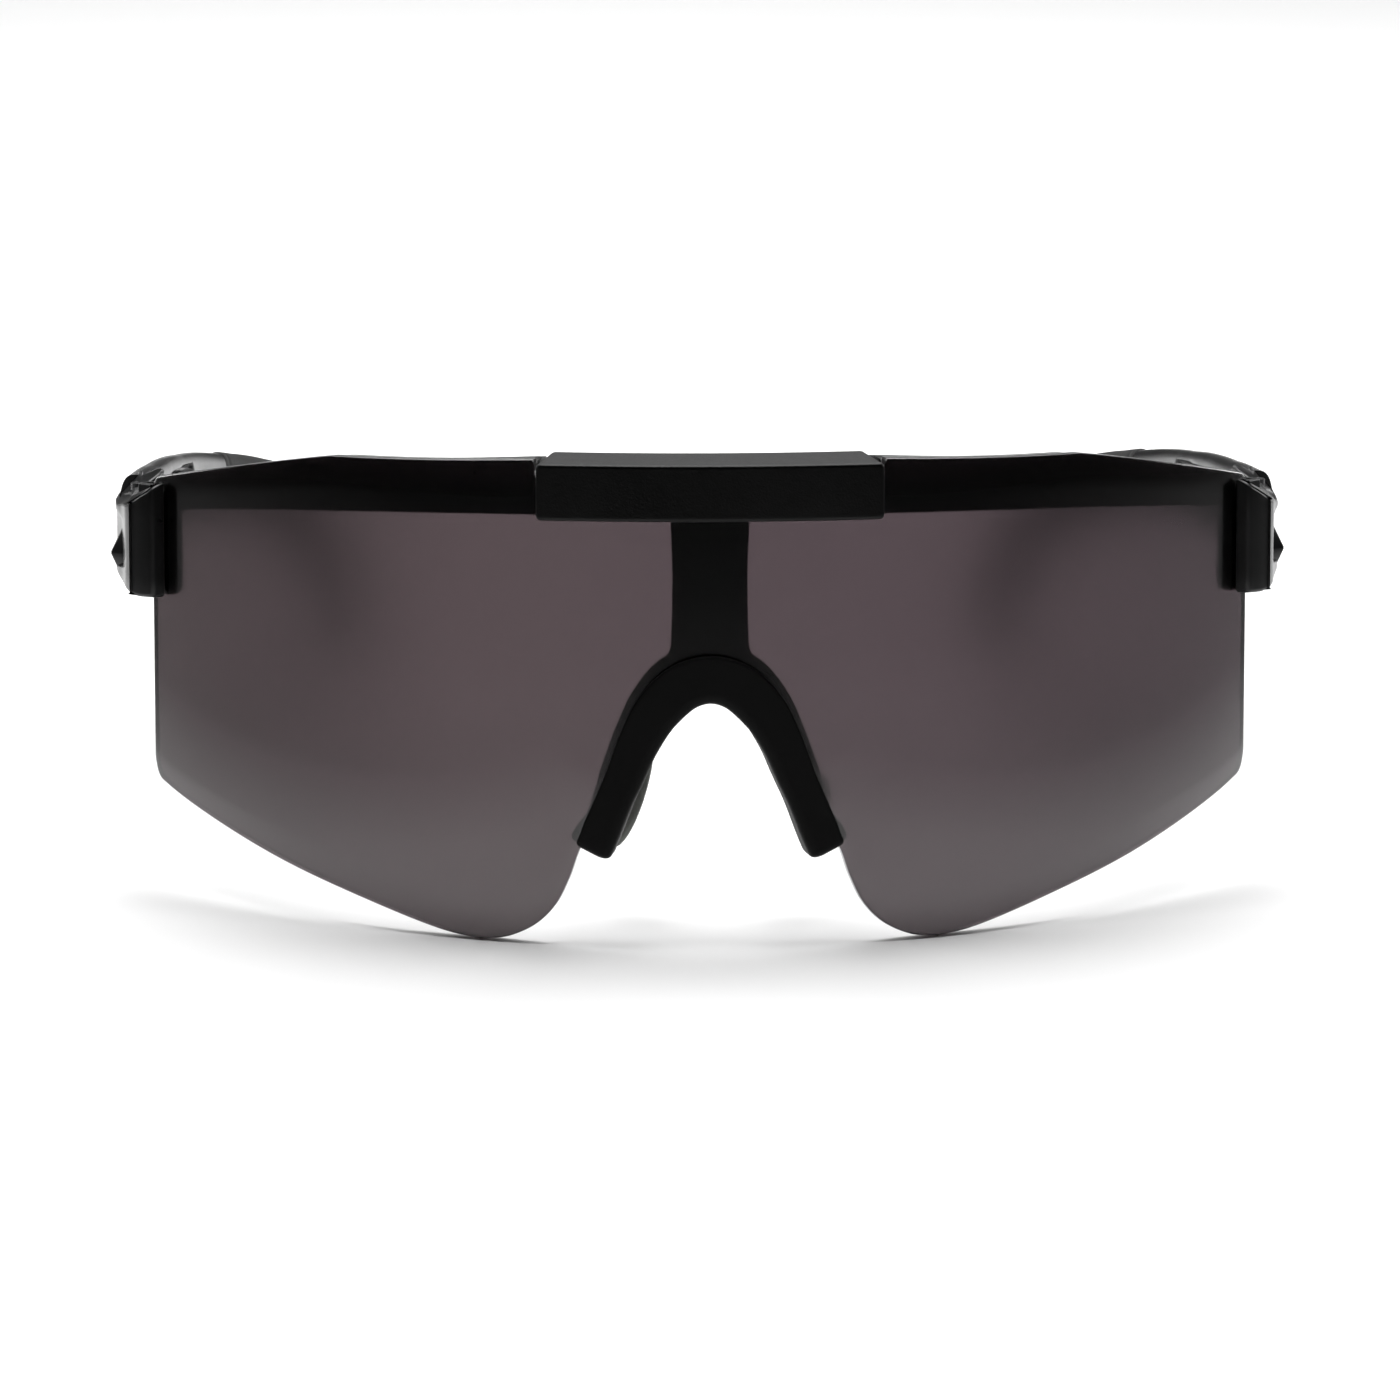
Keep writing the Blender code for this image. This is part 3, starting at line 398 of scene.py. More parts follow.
frameLook = mouldedPlastic("frame nylon", frameNylon)
armLook = mouldedPlastic("temple nylon", templeNylon)
capLook = mouldedPlastic("grained cap nylon", capNylon)
archLook = rubber("arch rubber", archRubber)
sockLook = rubber("sock rubber", sockRubber)
padLook = rubber("pad rubber", padRubber)
steelLook = metal("steel", (0.5, 0.5, 0.52), 0.3, (1.0, 1.0, 0.1))
darkSteelLook = metal("blackened steel", (0.09, 0.09, 0.092), 0.36, (1.0, 1.0, 0.2))
brassLook = metal("brass", (0.68, 0.47, 0.2), 0.3, (1.0, 1.0, 0.2))
print("looks made")

# Outlines on the lens's flat sheet, in millimetres: u along it from the middle, z up.

lensSize = {
    "end": 78.529,
    "height": 59.2,
    "thick": 2.0,
    "round": 0.35,
    "lobe": 28.4,
    "corner": 15.4,
    "capNotch": 21.5,
}
gapBehind = 0.3
backOfLens = -lensSize["thick"] - gapBehind


arch = {"inside": 2.9, "outside": 3.0, "lip": 0.9, "endRound": 1.0, "foot": (14.4, 12.0)}


def noseSide(steps):
    # the curve is drawn from the other side of the top, so that it is level there
    return smoothCurve(
        [
            (-3.4, 31.3),
            (0.0, 32.3),
            (3.4, 31.3),
            (6.2, 28.5),
            (8.2, 24.9),
            (10.4, 20.0),
            (12.8, 15.1),
            (15.6, 12.0),
            (17.2, 7.9),
            (18.9, 4.6),
            (21.4, 2.1),
            (24.8, 0.5),
            (lensSize["lobe"], 0.0),
        ],
        steps,
    )[steps:]


def lowerEdge(steps):
    # nose cut, lobe, long slope and outer corner, for the right half
    lobe, corner, end = lensSize["lobe"], lensSize["corner"], lensSize["end"]
    span = end - lobe
    slope = smoothCurve(
        [
            (lobe, 0.0),
            (lobe + 0.11 * span, 0.065 * corner),
            (lobe + 0.32 * span, 0.27 * corner),
            (lobe + 0.56 * span, 0.515 * corner),
            (lobe + 0.82 * span, 0.82 * corner),
            (end - 2.8, corner - 0.3),
            (end - 0.9, corner + 0.8),
            (end, corner + 3.0),
        ],
        steps,
    )
    return np.vstack((noseSide(steps), slope[1:]))


def brow(u):
    # slow fall to the shoulder, then a straight fall to the end
    u = np.abs(u)
    beyond = np.clip((u - 48.0) / (lensSize["end"] - 48.0), 0, 1)
    return lensSize["height"] - 0.9 * ease(u / 48.0) - 4.6 * beyond**1.1


def lensTop(u):
    corner = 1.4 * np.clip((np.abs(u) - lensSize["end"] + 1.4) / 1.4, 0, 1) ** 2
    under = 2.2 * (1 - ease((np.abs(u) - lensSize["capNotch"] + 0.3) / 0.3))
    return brow(u) - corner - under


def noseLine(steps, straight=False):
    # the nose cut from the left leg's end over the top to the right one, with outward normals;
    # the rubber arch leaves it near the end and runs on straight
    half = noseSide(steps)
    if straight:
        half = half[half[:, 1] >= 20.0 - 1e-6]
        run = np.linspace(0, 1, 2 * steps)[1:, None]
        half = np.vstack((half, half[-1] + run * (np.array(arch["foot"]) - half[-1])))
    half = half[half[:, 1] >= arch["foot"][1] - 1e-6]
    line = np.vstack((half[:0:-1] * (-1, 1), half))
    along = np.gradient(line, axis=0)
    along /= np.linalg.norm(along, axis=1)[:, None]
    outward = np.column_stack((-along[:, 1], along[:, 0]))
    reach = np.concatenate(((0,), np.cumsum(np.linalg.norm(np.diff(line, axis=0), axis=1))))
    return line, outward, along, np.minimum(reach, reach[-1] - reach)


def alongNose(section, steps=14, endRound=0.0, straight=False):
    # a closed section carried along the nose line; past each end it shrinks to a rounded tip
    line, outward, along, fromEnd = noseLine(steps, straight)
    rows = [(line[k], outward[k], section(fromEnd[k])) for k in range(len(line))]
    if endRound:
        for at, sign in ((0, -1), (-1, 1)):
            base = np.asarray(section(0.0))
            middle = base.mean(0)
            extra = []
            for turn in np.linspace(0.12, math.pi / 2 * 0.97, 9):
                size = math.cos(turn) ** 0.6
                shift = sign * along[at] * endRound * math.sin(turn)
                extra.append((line[at] + shift, outward[at], middle + (base - middle) * size))
            rows = extra[::-1] + rows if at == 0 else rows + extra
    loops = []
    for point, normal, cut in rows:
        loops.append(np.column_stack((point + np.outer(cut[:, 0], normal), cut[:, 1])))
    return skin(bend(np.asarray(loops)[..., [0, 2, 1]]))


def lensShell():
    # stations along the lens; each loop runs up the front, over a half-round top, down the back and under
    edge = lowerEdge(14)
    notch = lensSize["capNotch"] + np.linspace(-0.4, 0.4, 9)
    half = np.unique(np.round(np.concatenate((edge[:, 0], notch, np.arange(29.0, 77.0, 0.5))), 4))
    half = half[half <= lensSize["end"] - 0.36]
    low = np.interp(half, edge[:, 0], edge[:, 1])
    slope = np.gradient(low, half)
    rounded = lensSize["round"]
    lift = rounded * np.sqrt(1 + np.clip(slope, -6, 6) ** 2)
    finish = []
    for a in np.linspace(0.3, 1.5, 6):
        finish.append((lensSize["end"] - rounded * (1 - math.sin(a)), rounded * (1 - math.cos(a))))
    stations = [(u, z, lifted, 0.0) for u, z, lifted in zip(half, low, lift)]
    stations += [(u, np.interp(u, edge[:, 0], edge[:, 1]), lift[-1], draw) for u, draw in finish]
    stations = [(-u, z, lifted, draw) for u, z, lifted, draw in stations[:0:-1]] + stations
    turn = np.linspace(0, math.pi / 2, 5)
    loops = []
    for u, z0, lifted, draw in stations:
        z1 = float(lensTop(u))
        front, back = -draw, -lensSize["thick"] + draw
        rise = np.linspace(z0 + lifted, z1 - rounded, 14)
        drawnIn, short = rounded * (1 - np.cos(turn)), 1 - np.sin(turn)
        over, under = z1 - rounded * short, z0 + lifted * short
        loop = [(front, z) for z in rise]
        loop += list(zip(front - drawnIn[1:], over[1:]))
        loop += list(zip(back + drawnIn[::-1], over[::-1]))
        loop += [(back, z) for z in rise[::-1][1:]]
        loop += list(zip(back + drawnIn[1:], under[1:]))
        loop += list(zip(front - drawnIn[::-1][:-1], under[::-1][:-1]))
        loops.append([(u, w, z) for w, z in loop])
    return skin(bend(loops))


piece("shieldLens", [lensShell()], "front", lensLook, ["shield_lens"])

# The T-shaped frame behind the lens.

bar = {"height": 7.0, "deep": 3.4, "deepMiddle": 5.2, "endDrop": 2.6, "round": 0.7}
stem = {"wide": 10.0, "waist": 0.35, "flare": 1.1, "deep": 3.4, "recess": 0.6, "low": 33.1}
hook = {"wall": 1.2, "lip": 1.8, "lipDeep": 0.7, "low": 39.2}
hinge = {"x": 69.9, "y": 37.957, "knuckle": 1.9, "low": 41.9, "high": 48.6}
cap = {
    "half": 20.9,
    "height": 6.8,
    "wall": 1.3,
    "frontDrop": 0.85,
    "topDrop": 2.2,
    "rise": 0.7,
    "endRound": 0.6,
    "endGap": 0.6,
    "boss": 12.5,
}


def barShell():
    end = lensSize["end"] + gapBehind + hook["wall"] - 0.3
    notch = cap["half"] + cap["endGap"] + np.linspace(-0.5, 0.5, 11)
    half = np.unique(np.concatenate((np.linspace(0, end, 90), notch)))
    stations = np.concatenate((-half[:0:-1], half))
    loops = []
    for u in stations:
        share = min(abs(u) / lensSize["end"], 1.0)
        low = lensSize["height"] - bar["height"] - gapBehind - bar["endDrop"] * share**3
        high = float(lensTop(min(abs(u), lensSize["end"] - 1.4))) - gapBehind
        thinning = float(ease((abs(u) - cap["half"]) / 14))
        rear = backOfLens - bar["deep"] - (bar["deepMiddle"] - bar["deep"]) * (1 - thinning)
        corners = [(backOfLens, low), (backOfLens, high), (rear, high), (rear, low)]
        loops.append([(u, w, z) for w, z in roundedLoop(corners, bar["round"])])
    return skin(bend(loops))


def stemShell():
    # rounded box that tapers to the saddle, with a V sunk into its front
    heights = np.linspace(stem["low"], 53.6, 60)
    share = np.linspace(0, 1, 60)
    top = lensSize["height"] - bar["height"] - 1.0
    loops = []
    for z, part in zip(heights, share):
        flare = stem["flare"] * (1 - float(ease((z - stem["low"]) / 3.2)))
        half = stem["wide"] / 2 - stem["waist"] * math.sin(math.pi * part) + flare
        deep = 1.5 + (stem["deep"] - 1.5) * float(ease((z - 35.9) / 4))
        across = np.linspace(-half + 0.25, half - 0.25, 45)
        wide = (stem["wide"] / 2 - 0.5) * np.clip((z - top + 11.5) / 11.5, 0, 1)
        sunk = stem["recess"] * ease((wide - np.abs(across)) / 0.3) if wide > 0 else np.zeros(45)
        loop = [(x, backOfLens - down) for x, down in zip(across, sunk)]
        rear = backOfLens - deep
        loop += [(half, backOfLens - 0.3), (half, rear + 0.9), (half - 0.3, rear + 0.3), (half - 0.9, rear)]
        loop += [(-half + 0.9, rear), (-half + 0.3, rear + 0.3), (-half, rear + 0.9), (-half, backOfLens - 0.3)]
        loops.append([(x, w, z) for x, w in loop])
    return skin(bend(loops))


def saddleSection(fromEnd):
    wide = 4.2 * float(np.interp(fromEnd, (0, 5, 10, 16, 22), (0.45, 0.65, 0.82, 0.9, 1.0)))
    corners = [(0.1, backOfLens), (wide, backOfLens), (wide, backOfLens - 1.5), (0.1, backOfLens - 1.5)]
    return roundedLoop(corners, 0.4)


def hookShell():
    # plan of the frame's end: behind, round and just in front of the lens's end
    end = lensSize["end"]
    outer, inner, lip = end + gapBehind + hook["wall"], end + gapBehind, end - hook["lip"] + 0.4
    rows = [
        (end - 0.5, backOfLens, 0),
        (inner, backOfLens, 0),
        (inner, gapBehind, 0),
        (lip, gapBehind, 0),
        (lip, gapBehind + hook["lipDeep"], 0),
        (outer, gapBehind + hook["lipDeep"], 0),
        (outer, -1.8, 0),
    ]
    rear = bend((end - 0.5, backOfLens, 0.0))[:2]
    plan = np.vstack((bend(rows)[:, :2], rear + (0.5, 1.3), rear + (0, 0.9)))
    loop = roundedLoop(plan, 0.25, 4)
    high = float(lensTop(end - 1.4)) - 1.0
    levels = [hook["low"], hook["low"] + 0.6, high - 0.4, high]
    return stack([(z, loop) for z in levels], 0.25, 0.25)


def innerPost():
    # the frame's upright behind the lens's end, with its fillet up to the bar
    end = lensSize["end"]
    loops = []
    for z in np.concatenate((np.linspace(39.0, 48.0, 10), np.linspace(48.2, 50.6, 16))):
        fillet = 1.5 * (1 - math.sqrt(max(0.0, 1 - max(0.0, (z - 48.6) / 1.5) ** 2)))
        lowRound = 0.8 * (1 - math.sqrt(max(0.0, 1 - max(0.0, (39.8 - z) / 0.8) ** 2)))
        inner = end - 2.9 - fillet + lowRound
        rear = backOfLens - 1.4
        corners = [(inner, backOfLens), (end, backOfLens), (end, rear), (inner, rear)]
        loops.append([(u, w, z) for u, w in roundedLoop(corners, 0.35)])
    return skin(bend(loops))


def circle(x, y, radius, sides=40):
    turn = np.arange(sides) * 2 * math.pi / sides
    return np.column_stack((x + radius * np.cos(turn), y + radius * np.sin(turn)))


def ringShell(x, y, inner, outer, low, high, soft):
    # a tube wall turned about an upright axis: its section is a rounded rectangle
    section = roundedLoop([(inner, low), (outer, low), (outer, high), (inner, high)], soft, 4)
    turn = np.arange(48) * 2 * math.pi / 48
    aside, ahead = np.outer(np.cos(turn), section[:, 0]), np.outer(np.sin(turn), section[:, 0])
    loops = np.stack((x + aside, y + ahead, np.tile(section[:, 1], (48, 1))), -1)
    points = loops.reshape(-1, 3)
    index = np.arange(len(points)).reshape(48, -1)
    nextRing = np.roll(index, -1, 0)
    quads = np.stack((index, np.roll(index, -1, 1), np.roll(nextRing, -1, 1), nextRing), -1).reshape(-1, 4)
    return points, quads.tolist()


def bracketShell():
    x, y = hinge["x"], hinge["y"]
    near = bend((lensSize["end"] - 0.5, backOfLens, 0.0))[:2]
    far = bend((lensSize["end"] + gapBehind + hook["wall"], -1.4, 0.0))[:2]
    rear = [(x + 0.3, y - 1.75), (x - 0.9, y - 1.1), (x - 1.6, y + 0.9), (near[0], y - 0.6)]
    plan = [near + (0, 0.3), far, *rear]
    loop = roundedLoop(plan, 0.3, 4)
    levels = [hinge["low"], hinge["low"] + 0.5, hinge["high"] - 0.5, hinge["high"]]
    return stack([(z, loop) for z in levels], 0.25, 0.25)


padRoot = np.array((10.149, 5.925, 24.223))


def padBossShell(side):
    # the seat behind the saddle: a block with a round-bottomed notch for the wire's barrel
    x, y, z = padRoot
    half = 1.45
    plan = [(x - half, y - 2.0), (x + half, y - 2.0), (x + half, y + 0.5), (x + 0.95, y + 0.5)]
    plan += [(x + 0.95, y - 0.6), (x + 0.5, y - 1.0), (x - 0.5, y - 1.0), (x - 0.95, y - 0.6)]
    plan += [(x - 0.95, y + 0.5), (x - half, y + 0.5)]
    loop = roundedLoop(plan, 0.2, 4)
    points, faces = stack([(z - 1.2, loop), (z - 0.8, loop), (z + 0.8, loop), (z + 1.2, loop)], 0.15, 0.15)
    return points * (side, 1, 1), faces


frameShells = [barShell(), stemShell(), alongNose(saddleSection, 12, 0.6)]
for side in (-1, 1):
    mirrorSide = (side, 1, 1)
    for points, faces in (
        hookShell(),
        innerPost(),
        bracketShell(),
        ringShell(hinge["x"], hinge["y"], 1.0, hinge["knuckle"], hinge["low"], hinge["high"], 0.25),
    ):
        frameShells.append((points * mirrorSide, faces))
    frameShells.append(padBossShell(side))
piece("browFrame", frameShells, "front", frameLook, ["t_frame"])

def capShell():
    # a front plate and a top that folds back, as one closed section carried along the brow
    top = lensSize["height"] - cap["frontDrop"]
    low = top - cap["height"]
    rear = backOfLens - bar["deepMiddle"]
    face = gapBehind + cap["wall"]
    under = lensSize["height"] - cap["topDrop"] + gapBehind
    turn = np.linspace(0, math.pi / 2 * 0.98, 8)
    ends = [(cap["half"] - cap["endRound"] * (1 - math.sin(a)), 0.5 * (1 - math.cos(a))) for a in turn]
    half = [(u, 0.0) for u in np.linspace(0, cap["half"] - cap["endRound"] - 0.1, 46)] + ends
    stations = [(-u, d) for u, d in half[:0:-1]] + half
    loops = []
    for u, draw in stations:
        corners = [
            (gapBehind + draw * 0.3, low + draw),
            (face - draw, low + draw),
            (face - draw, top - draw),
            (rear + draw, top + cap["rise"] - draw),
            (rear + draw, under + draw * 0.3),
            (gapBehind + draw * 0.3, under + draw * 0.3),
        ]
        section = roundedLoop(corners, (0.2, 0.45, 0.4, 0.5, 0.2, 0.2), 6)
        loops.append([(u, w, z) for w, z in section])
    return skin(bend(loops))


def acrossLens(u, z, rings):
    # circles round the line square to the lens at (u, z), each at depth w with its own radius
    middle = bend([(u, w, z) for w, _ in rings])
    angle = u / stance["lensRadius"]
    side, up = np.array((math.cos(angle), math.sin(angle), 0)), np.array((0, 0, 1.0))
    turn = np.arange(32)[:, None] * 2 * math.pi / 32
    rim = np.cos(turn) * side + np.sin(turn) * up
    return skin([centre + radius * rim for centre, (_, radius) in zip(middle, rings)])


bossHeight = lensSize["height"] - cap["frontDrop"] - cap["height"] / 2
capShells = [capShell()]
for side in (-1, 1):
    rear = backOfLens - bar["deepMiddle"] + 1.2
    rings = [(gapBehind + 0.4, 1.5), (rear + 0.2, 1.5), (rear, 1.3)]
    capShells.append(acrossLens(side * cap["boss"], bossHeight, rings))
piece("browCap", capShells, "front", capLook, ["brow_cap"])


def archSection(fromEnd):
    # a U round the lens's edge: front lip, web and rear lip
    out = arch["outside"] - 1.0 * (1 - ease(fromEnd / 20)) - 0.2 * (1 - ease(fromEnd / 2.5))
    inside = arch["inside"] - 0.7 * (1 - ease((fromEnd - 12) / 10)) + 0.5 * (1 - ease(fromEnd / 8))
    rear = 2.0 - 2.1 * (1 - ease((abs(fromEnd - 12.9) - 2.3) / 1.5)) - 0.8 * (1 - ease(fromEnd / 3))
    front = gapBehind + arch["lip"]
    back = backOfLens - 1.5 - gapBehind - arch["lip"]
    corners = [
        (out, gapBehind),
        (out, front),
        (-inside, front),
        (-inside, back),
        (rear, back),
        (rear, back + arch["lip"]),
        (-gapBehind, back + arch["lip"]),
        (-gapBehind, gapBehind),
    ]
    return roundedLoop(corners, (0.3, 0.75, 1.3, 1.3, 0.3, 0.3, 0.3, 0.3), 7)


archShell = alongNose(archSection, 14, arch["endRound"], True)
piece("noseArch", [archShell], "front", archLook, ["nose_arch"])

pad = {
    "long": 14.0,
    "wide": 7.4,
    "thick": 2.0,
    "out": 2.0,
    "back": 8.4,
    "down": 7.9,
    "splay": 18.0,
    "turn": 38.0,
    "leftTurn": 19.0,
    "studHalf": 1.3,
    "studRise": 2.5,
}
wire = {"radius": 0.45, "barrel": 0.8, "barrelHalf": 1.1}


def padPlace(side):
    # a pad's middle, and its long way, wide way and normal; the left pad is bent further in
    splay, turn = math.radians(pad["splay"]), math.radians(pad["turn"])
    longWay = np.array((-side * math.sin(splay), 0.15, math.cos(splay)))
    longWay /= np.linalg.norm(longWay)
    normal = np.array((-side * math.cos(turn), math.sin(turn), -0.12))
    normal -= longWay * np.dot(normal, longWay)
    normal /= np.linalg.norm(normal)
    bent = math.radians(pad["leftTurn"] if side < 0 else 0.0) * side
    c, s = math.cos(bent), math.sin(bent)
    turned = np.array(((c, -s, 0), (s, c, 0), (0, 0, 1)))
    root = padRoot * (side, 1, 1)
    middle = root + turned @ np.array((side * pad["out"], pad["back"], -pad["down"]))
    return root, middle, turned @ longWay, np.cross(turned @ normal, turned @ longWay), turned @ normal


def padShells(side):
    # a teardrop outline blown up: at height h its size is (1 - |h|^2.6)^(1/2.6), dished in front
    root, middle, longWay, wideWay, normal = padPlace(side)
    turn = np.arange(64)[:, None] * 2 * math.pi / 64
    loops = []
    for height in np.sin(np.linspace(-1.5, 1.5, 22)):
        size = (1 - abs(height) ** 2.6) ** (1 / 2.6)
        dish = 0.22 * (size - 1) if height > 0 else 0.0
        loops.append(
            middle
            + size * pad["long"] / 2 * np.sin(turn) * longWay
            + size * pad["wide"] / 2 * np.cos(turn) * (1 - 0.14 * np.sin(turn)) * wideWay
            + (height + dish) * pad["thick"] / 2 * normal
        )
    half, high = pad["studHalf"], pad["studRise"]
    outline = roundedLoop([(-half, 0.0), (half, 0.0), (half, high), (-half, high)], 0.5)
    stud = []
    for at, draw in ((-half, 0.25), (-1.2, 0.06), (-1.05, 0.0), (1.05, 0.0), (1.2, 0.06), (half, 0.25)):
        shrunk = insetLoop(outline, draw)
        stud.append([middle + at * longWay + wide * wideWay - (0.4 + out) * normal for wide, out in shrunk])
    return [skin(loops), skin(stud)]


def tubeAlong(path, radius, sides=16):
    # a round tube carried along a path, with its section turned as little as possible from point to point
    path = np.asarray(path, float)
    along = np.gradient(path, axis=0)
    along /= np.linalg.norm(along, axis=1)[:, None]
    side = np.cross(along, (0.02, 0.05, 1.0))
    side[np.linalg.norm(side, axis=1) < 0.15] = (1.0, 0.0, 0.0)
    side -= along * np.sum(side * along, 1)[:, None]
    side /= np.linalg.norm(side, axis=1)[:, None]
    other = np.cross(along, side)
    turn = np.arange(sides) * 2 * math.pi / sides
    aside, above = np.cos(turn)[None, :, None], np.sin(turn)[None, :, None]
    return skin(path[:, None] + radius * (aside * side[:, None] + above * other[:, None]))


def wireShells(side):
    root, middle, longWay, _, normal = padPlace(side)

    def socket(at):
        return middle + at * longWay - (pad["thick"] / 2 + 1.0) * normal

    points = [
        root + (0, 0.2, 0),
        root + (0, 2.2, 0.1),
        (root + (0, 4.4, 0) + socket(3.2) + (0, 0, 1.8)) / 2,
        socket(3.2),
        socket(1.4),
        socket(0.2),
    ]
    ring, half = circle(root[0], root[1], wire["barrel"]), wire["barrelHalf"]
    heights = [root[2] - half, root[2] - 0.8, root[2] + 0.8, root[2] + half]
    barrel = stack([(z, ring) for z in heights], 0.12, 0.12)
    return [tubeAlong(smoothCurve(points, 14), wire["radius"]), barrel]


for side, word in ((-1, "left"), (1, "right")):
    piece(f"nosePad_{word}", padShells(side), f"pad_{word}", padLook, [f"nose_pad_{word}"])
    piece(f"padWire_{word}", wireShells(side), f"pad_{word}", steelLook, [f"pad_wire_{word}"])

temple = {
    "reach": 134.0,
    "thick": 4.2,
    "tipIn": 24.0,
    "tipHeight": 15.2,
    "armShare": 0.5,
    "out": 1.2,
    "sock": 1.06,
    "gripStart": 0.09,
    "gripEnd": 0.33,
}


def templeFrames(shares):
    # points on the temple's line by share of its length, with the outward and upward ways there
    route = [
        (0.045, 0.0, 46.0),
        (0.165, 0.045, 46.8),
        (0.31, 0.115, 46.8),
        (0.46, 0.21, 45.6),
        (0.61, 0.367, 43.4),
        (0.715, 0.53, 41.0),
        (0.79, 0.645, 38.6),
        (0.86, 0.775, 33.4),
        (0.93, 0.90, 25.0),
        (1.0, 1.0, temple["tipHeight"]),
    ]
    along, inward, heights = np.array(route).T
    across = hinge["x"] + temple["out"] - inward * temple["tipIn"]
    path = smoothCurve(np.column_stack((across, hinge["y"] + along * temple["reach"], heights)), 24)
    reach = np.concatenate(((0,), np.cumsum(np.linalg.norm(np.diff(path, axis=0), axis=1))))
    at = np.asarray(shares) * reach[-1]
    centre = np.column_stack([np.interp(at, reach, path[:, axis]) for axis in range(3)])
    slope = np.gradient(path, reach, axis=0)
    tangent = np.column_stack([np.interp(at, reach, slope[:, axis]) for axis in range(3)])
    tangent /= np.linalg.norm(tangent, axis=1)[:, None]
    outward = np.cross(tangent, (0, 0, 1))
    outward /= np.linalg.norm(outward, axis=1)[:, None]
    return centre, outward, np.cross(outward, tangent)


def templeHeight(share):
    shares = (0, 0.12, 0.3, 0.55, 0.72, 0.9, 0.97, 1.0)
    return np.interp(share, shares, (13.6, 11.0, 8.8, 8.0, 8.8, 9.0, 7.6, 4.6))


def templeDepth(share):
    shares = (0, 0.2, 0.5, 0.7, 0.95, 1.0)
    return temple["thick"] * np.interp(share, shares, (1.0, 0.86, 0.78, 0.9, 0.95, 0.6))


def templeTube(shares, size, power, sides, relief):
    # superellipse sections |a|^p + |b|^p = 1 along the temple, drawn in by relief(share, across, rise)
    centre, outward, upward = templeFrames(shares)
    turn = np.arange(sides) * 2 * math.pi / sides
    across = np.sign(np.cos(turn)) * np.abs(np.cos(turn)) ** (2 / power)
    rise = np.sign(np.sin(turn)) * np.abs(np.sin(turn)) ** (2 / power)
    halfOut = (templeDepth(shares) / 2 * size)[:, None]
    halfUp = (templeHeight(shares) / 2 * size)[:, None]
    up = halfUp * rise
    out = halfOut * across + relief(np.asarray(shares)[:, None], across[None], up)
    points, faces = skin(centre[:, None] + out[..., None] * outward[:, None] + up[..., None] * upward[:, None])
    # whatever would pass below the table is cut flat on it
    lean = math.radians(stance["leanDegrees"])
    below = np.minimum(toWorld(points)[:, 2], 0.0) * 1000
    return points - np.outer(below, (0, -math.sin(lean), math.cos(lean))), faces


def gripRelief(share, across, rise):
    # a shallow pocket on the inner face for the soft insert
    inside = (across < -0.6) * ease((3.2 - np.abs(rise)) / 0.4)
    along = ease((share - 0.083) / 0.008) * ease((0.338 - share) / 0.008)
    return 0.75 * inside * along


def sockRelief(share, across, rise):
    # fine ribs across the inner face, and a narrow groove round the sock's mouth
    ribs = 0.5 - 0.5 * np.cos(share * temple["reach"] * 2 * math.pi / 2.4)
    inside = (across < -0.55) * ease((3.0 - np.abs(rise)) / 0.8)
    along = ease((share - 0.6) / 0.02) * ease((0.9 - share) / 0.03)
    mouth = np.exp(-(((share - 0.517) * temple["reach"] / 0.5) ** 2))
    return 0.28 * ribs * inside * along - 0.22 * mouth * np.sign(across) * np.abs(across)


lug = {
    "low": 38.9,
    "high": 53.3,
    "start": 75.529,
    "wall": 0.8,
    "softLow": 0.5,
    "softHigh": 0.35,
    "shelf": 41.4,
    "ceiling": 49.0,
}


def lugPlans():
    # plan curves of the lug: the ear that turns about the screw, the wall, and the wall with its side sunk
    x, y = hinge["x"], hinge["y"]
    end = lensSize["end"]
    foot, outer = end - 3.0, end + gapBehind + hook["wall"] + 0.4
    roof = gapBehind + hook["lipDeep"] + 0.4
    flange = [(outer, -1.2, 0), (outer, roof, 0), (foot + lug["wall"], roof, 0)]
    flange += [(foot + lug["wall"], gapBehind, 0), (foot, gapBehind, 0), (foot + 0.2, 2.2, 0)]
    # two more points bow the flange's front between its apex and the outer shoulder
    bow = bend([(foot + 1.8, 2.75, 0), (foot + 3.4, 3.0, 0)])[:, :2]
    shoulder = [(x + 1.35, y - 7.0), (x + 1.95, y - 5.2)]
    full = [(x + 2.5, y - 1.8), (x + 3.3, y + 1.3), (x + 3.6, y + 4.4), (x + 3.8, y + 8.5)]
    sunk = [(x + 2.28, y - 2.5), (x + 2.55, y + 0.6), (x + 2.85, y + 3.3), (x + 3.7, y + 8.5)]
    ear = [(x + 0.3, y + 8.5), (x + 0.2, y + 4.2), (x - 1.3, y + 2.6)]
    ear += [(x - 2.5, y + 1.4), (x - 2.9, y - 0.2), (x - 2.4, y - 1.6)]
    wall = [(x + 1.0, y + 8.5), (x + 1.4, y + 4.2), (x + 1.9, y + 1.9)]
    wall += [(x + 2.25, y + 0.6), (x + 2.2, y - 0.8), (x + 1.3, y - 2.7)]
    rows = {}
    for name, outside, inside in (("ear", full, ear), ("wall", full, wall), ("sunk", sunk, wall)):
        corners = np.vstack((bend(flange)[:, :2], bow, shoulder, outside, inside))
        radii = [0.3] * 4 + [0.15, 0.5] + [1.2] * 4 + [1.4] * 3 + [0.5, 0.5] + [1.2] * 5
        rows[name] = roundedLoop(corners, np.asarray(radii), 6)
    return rows


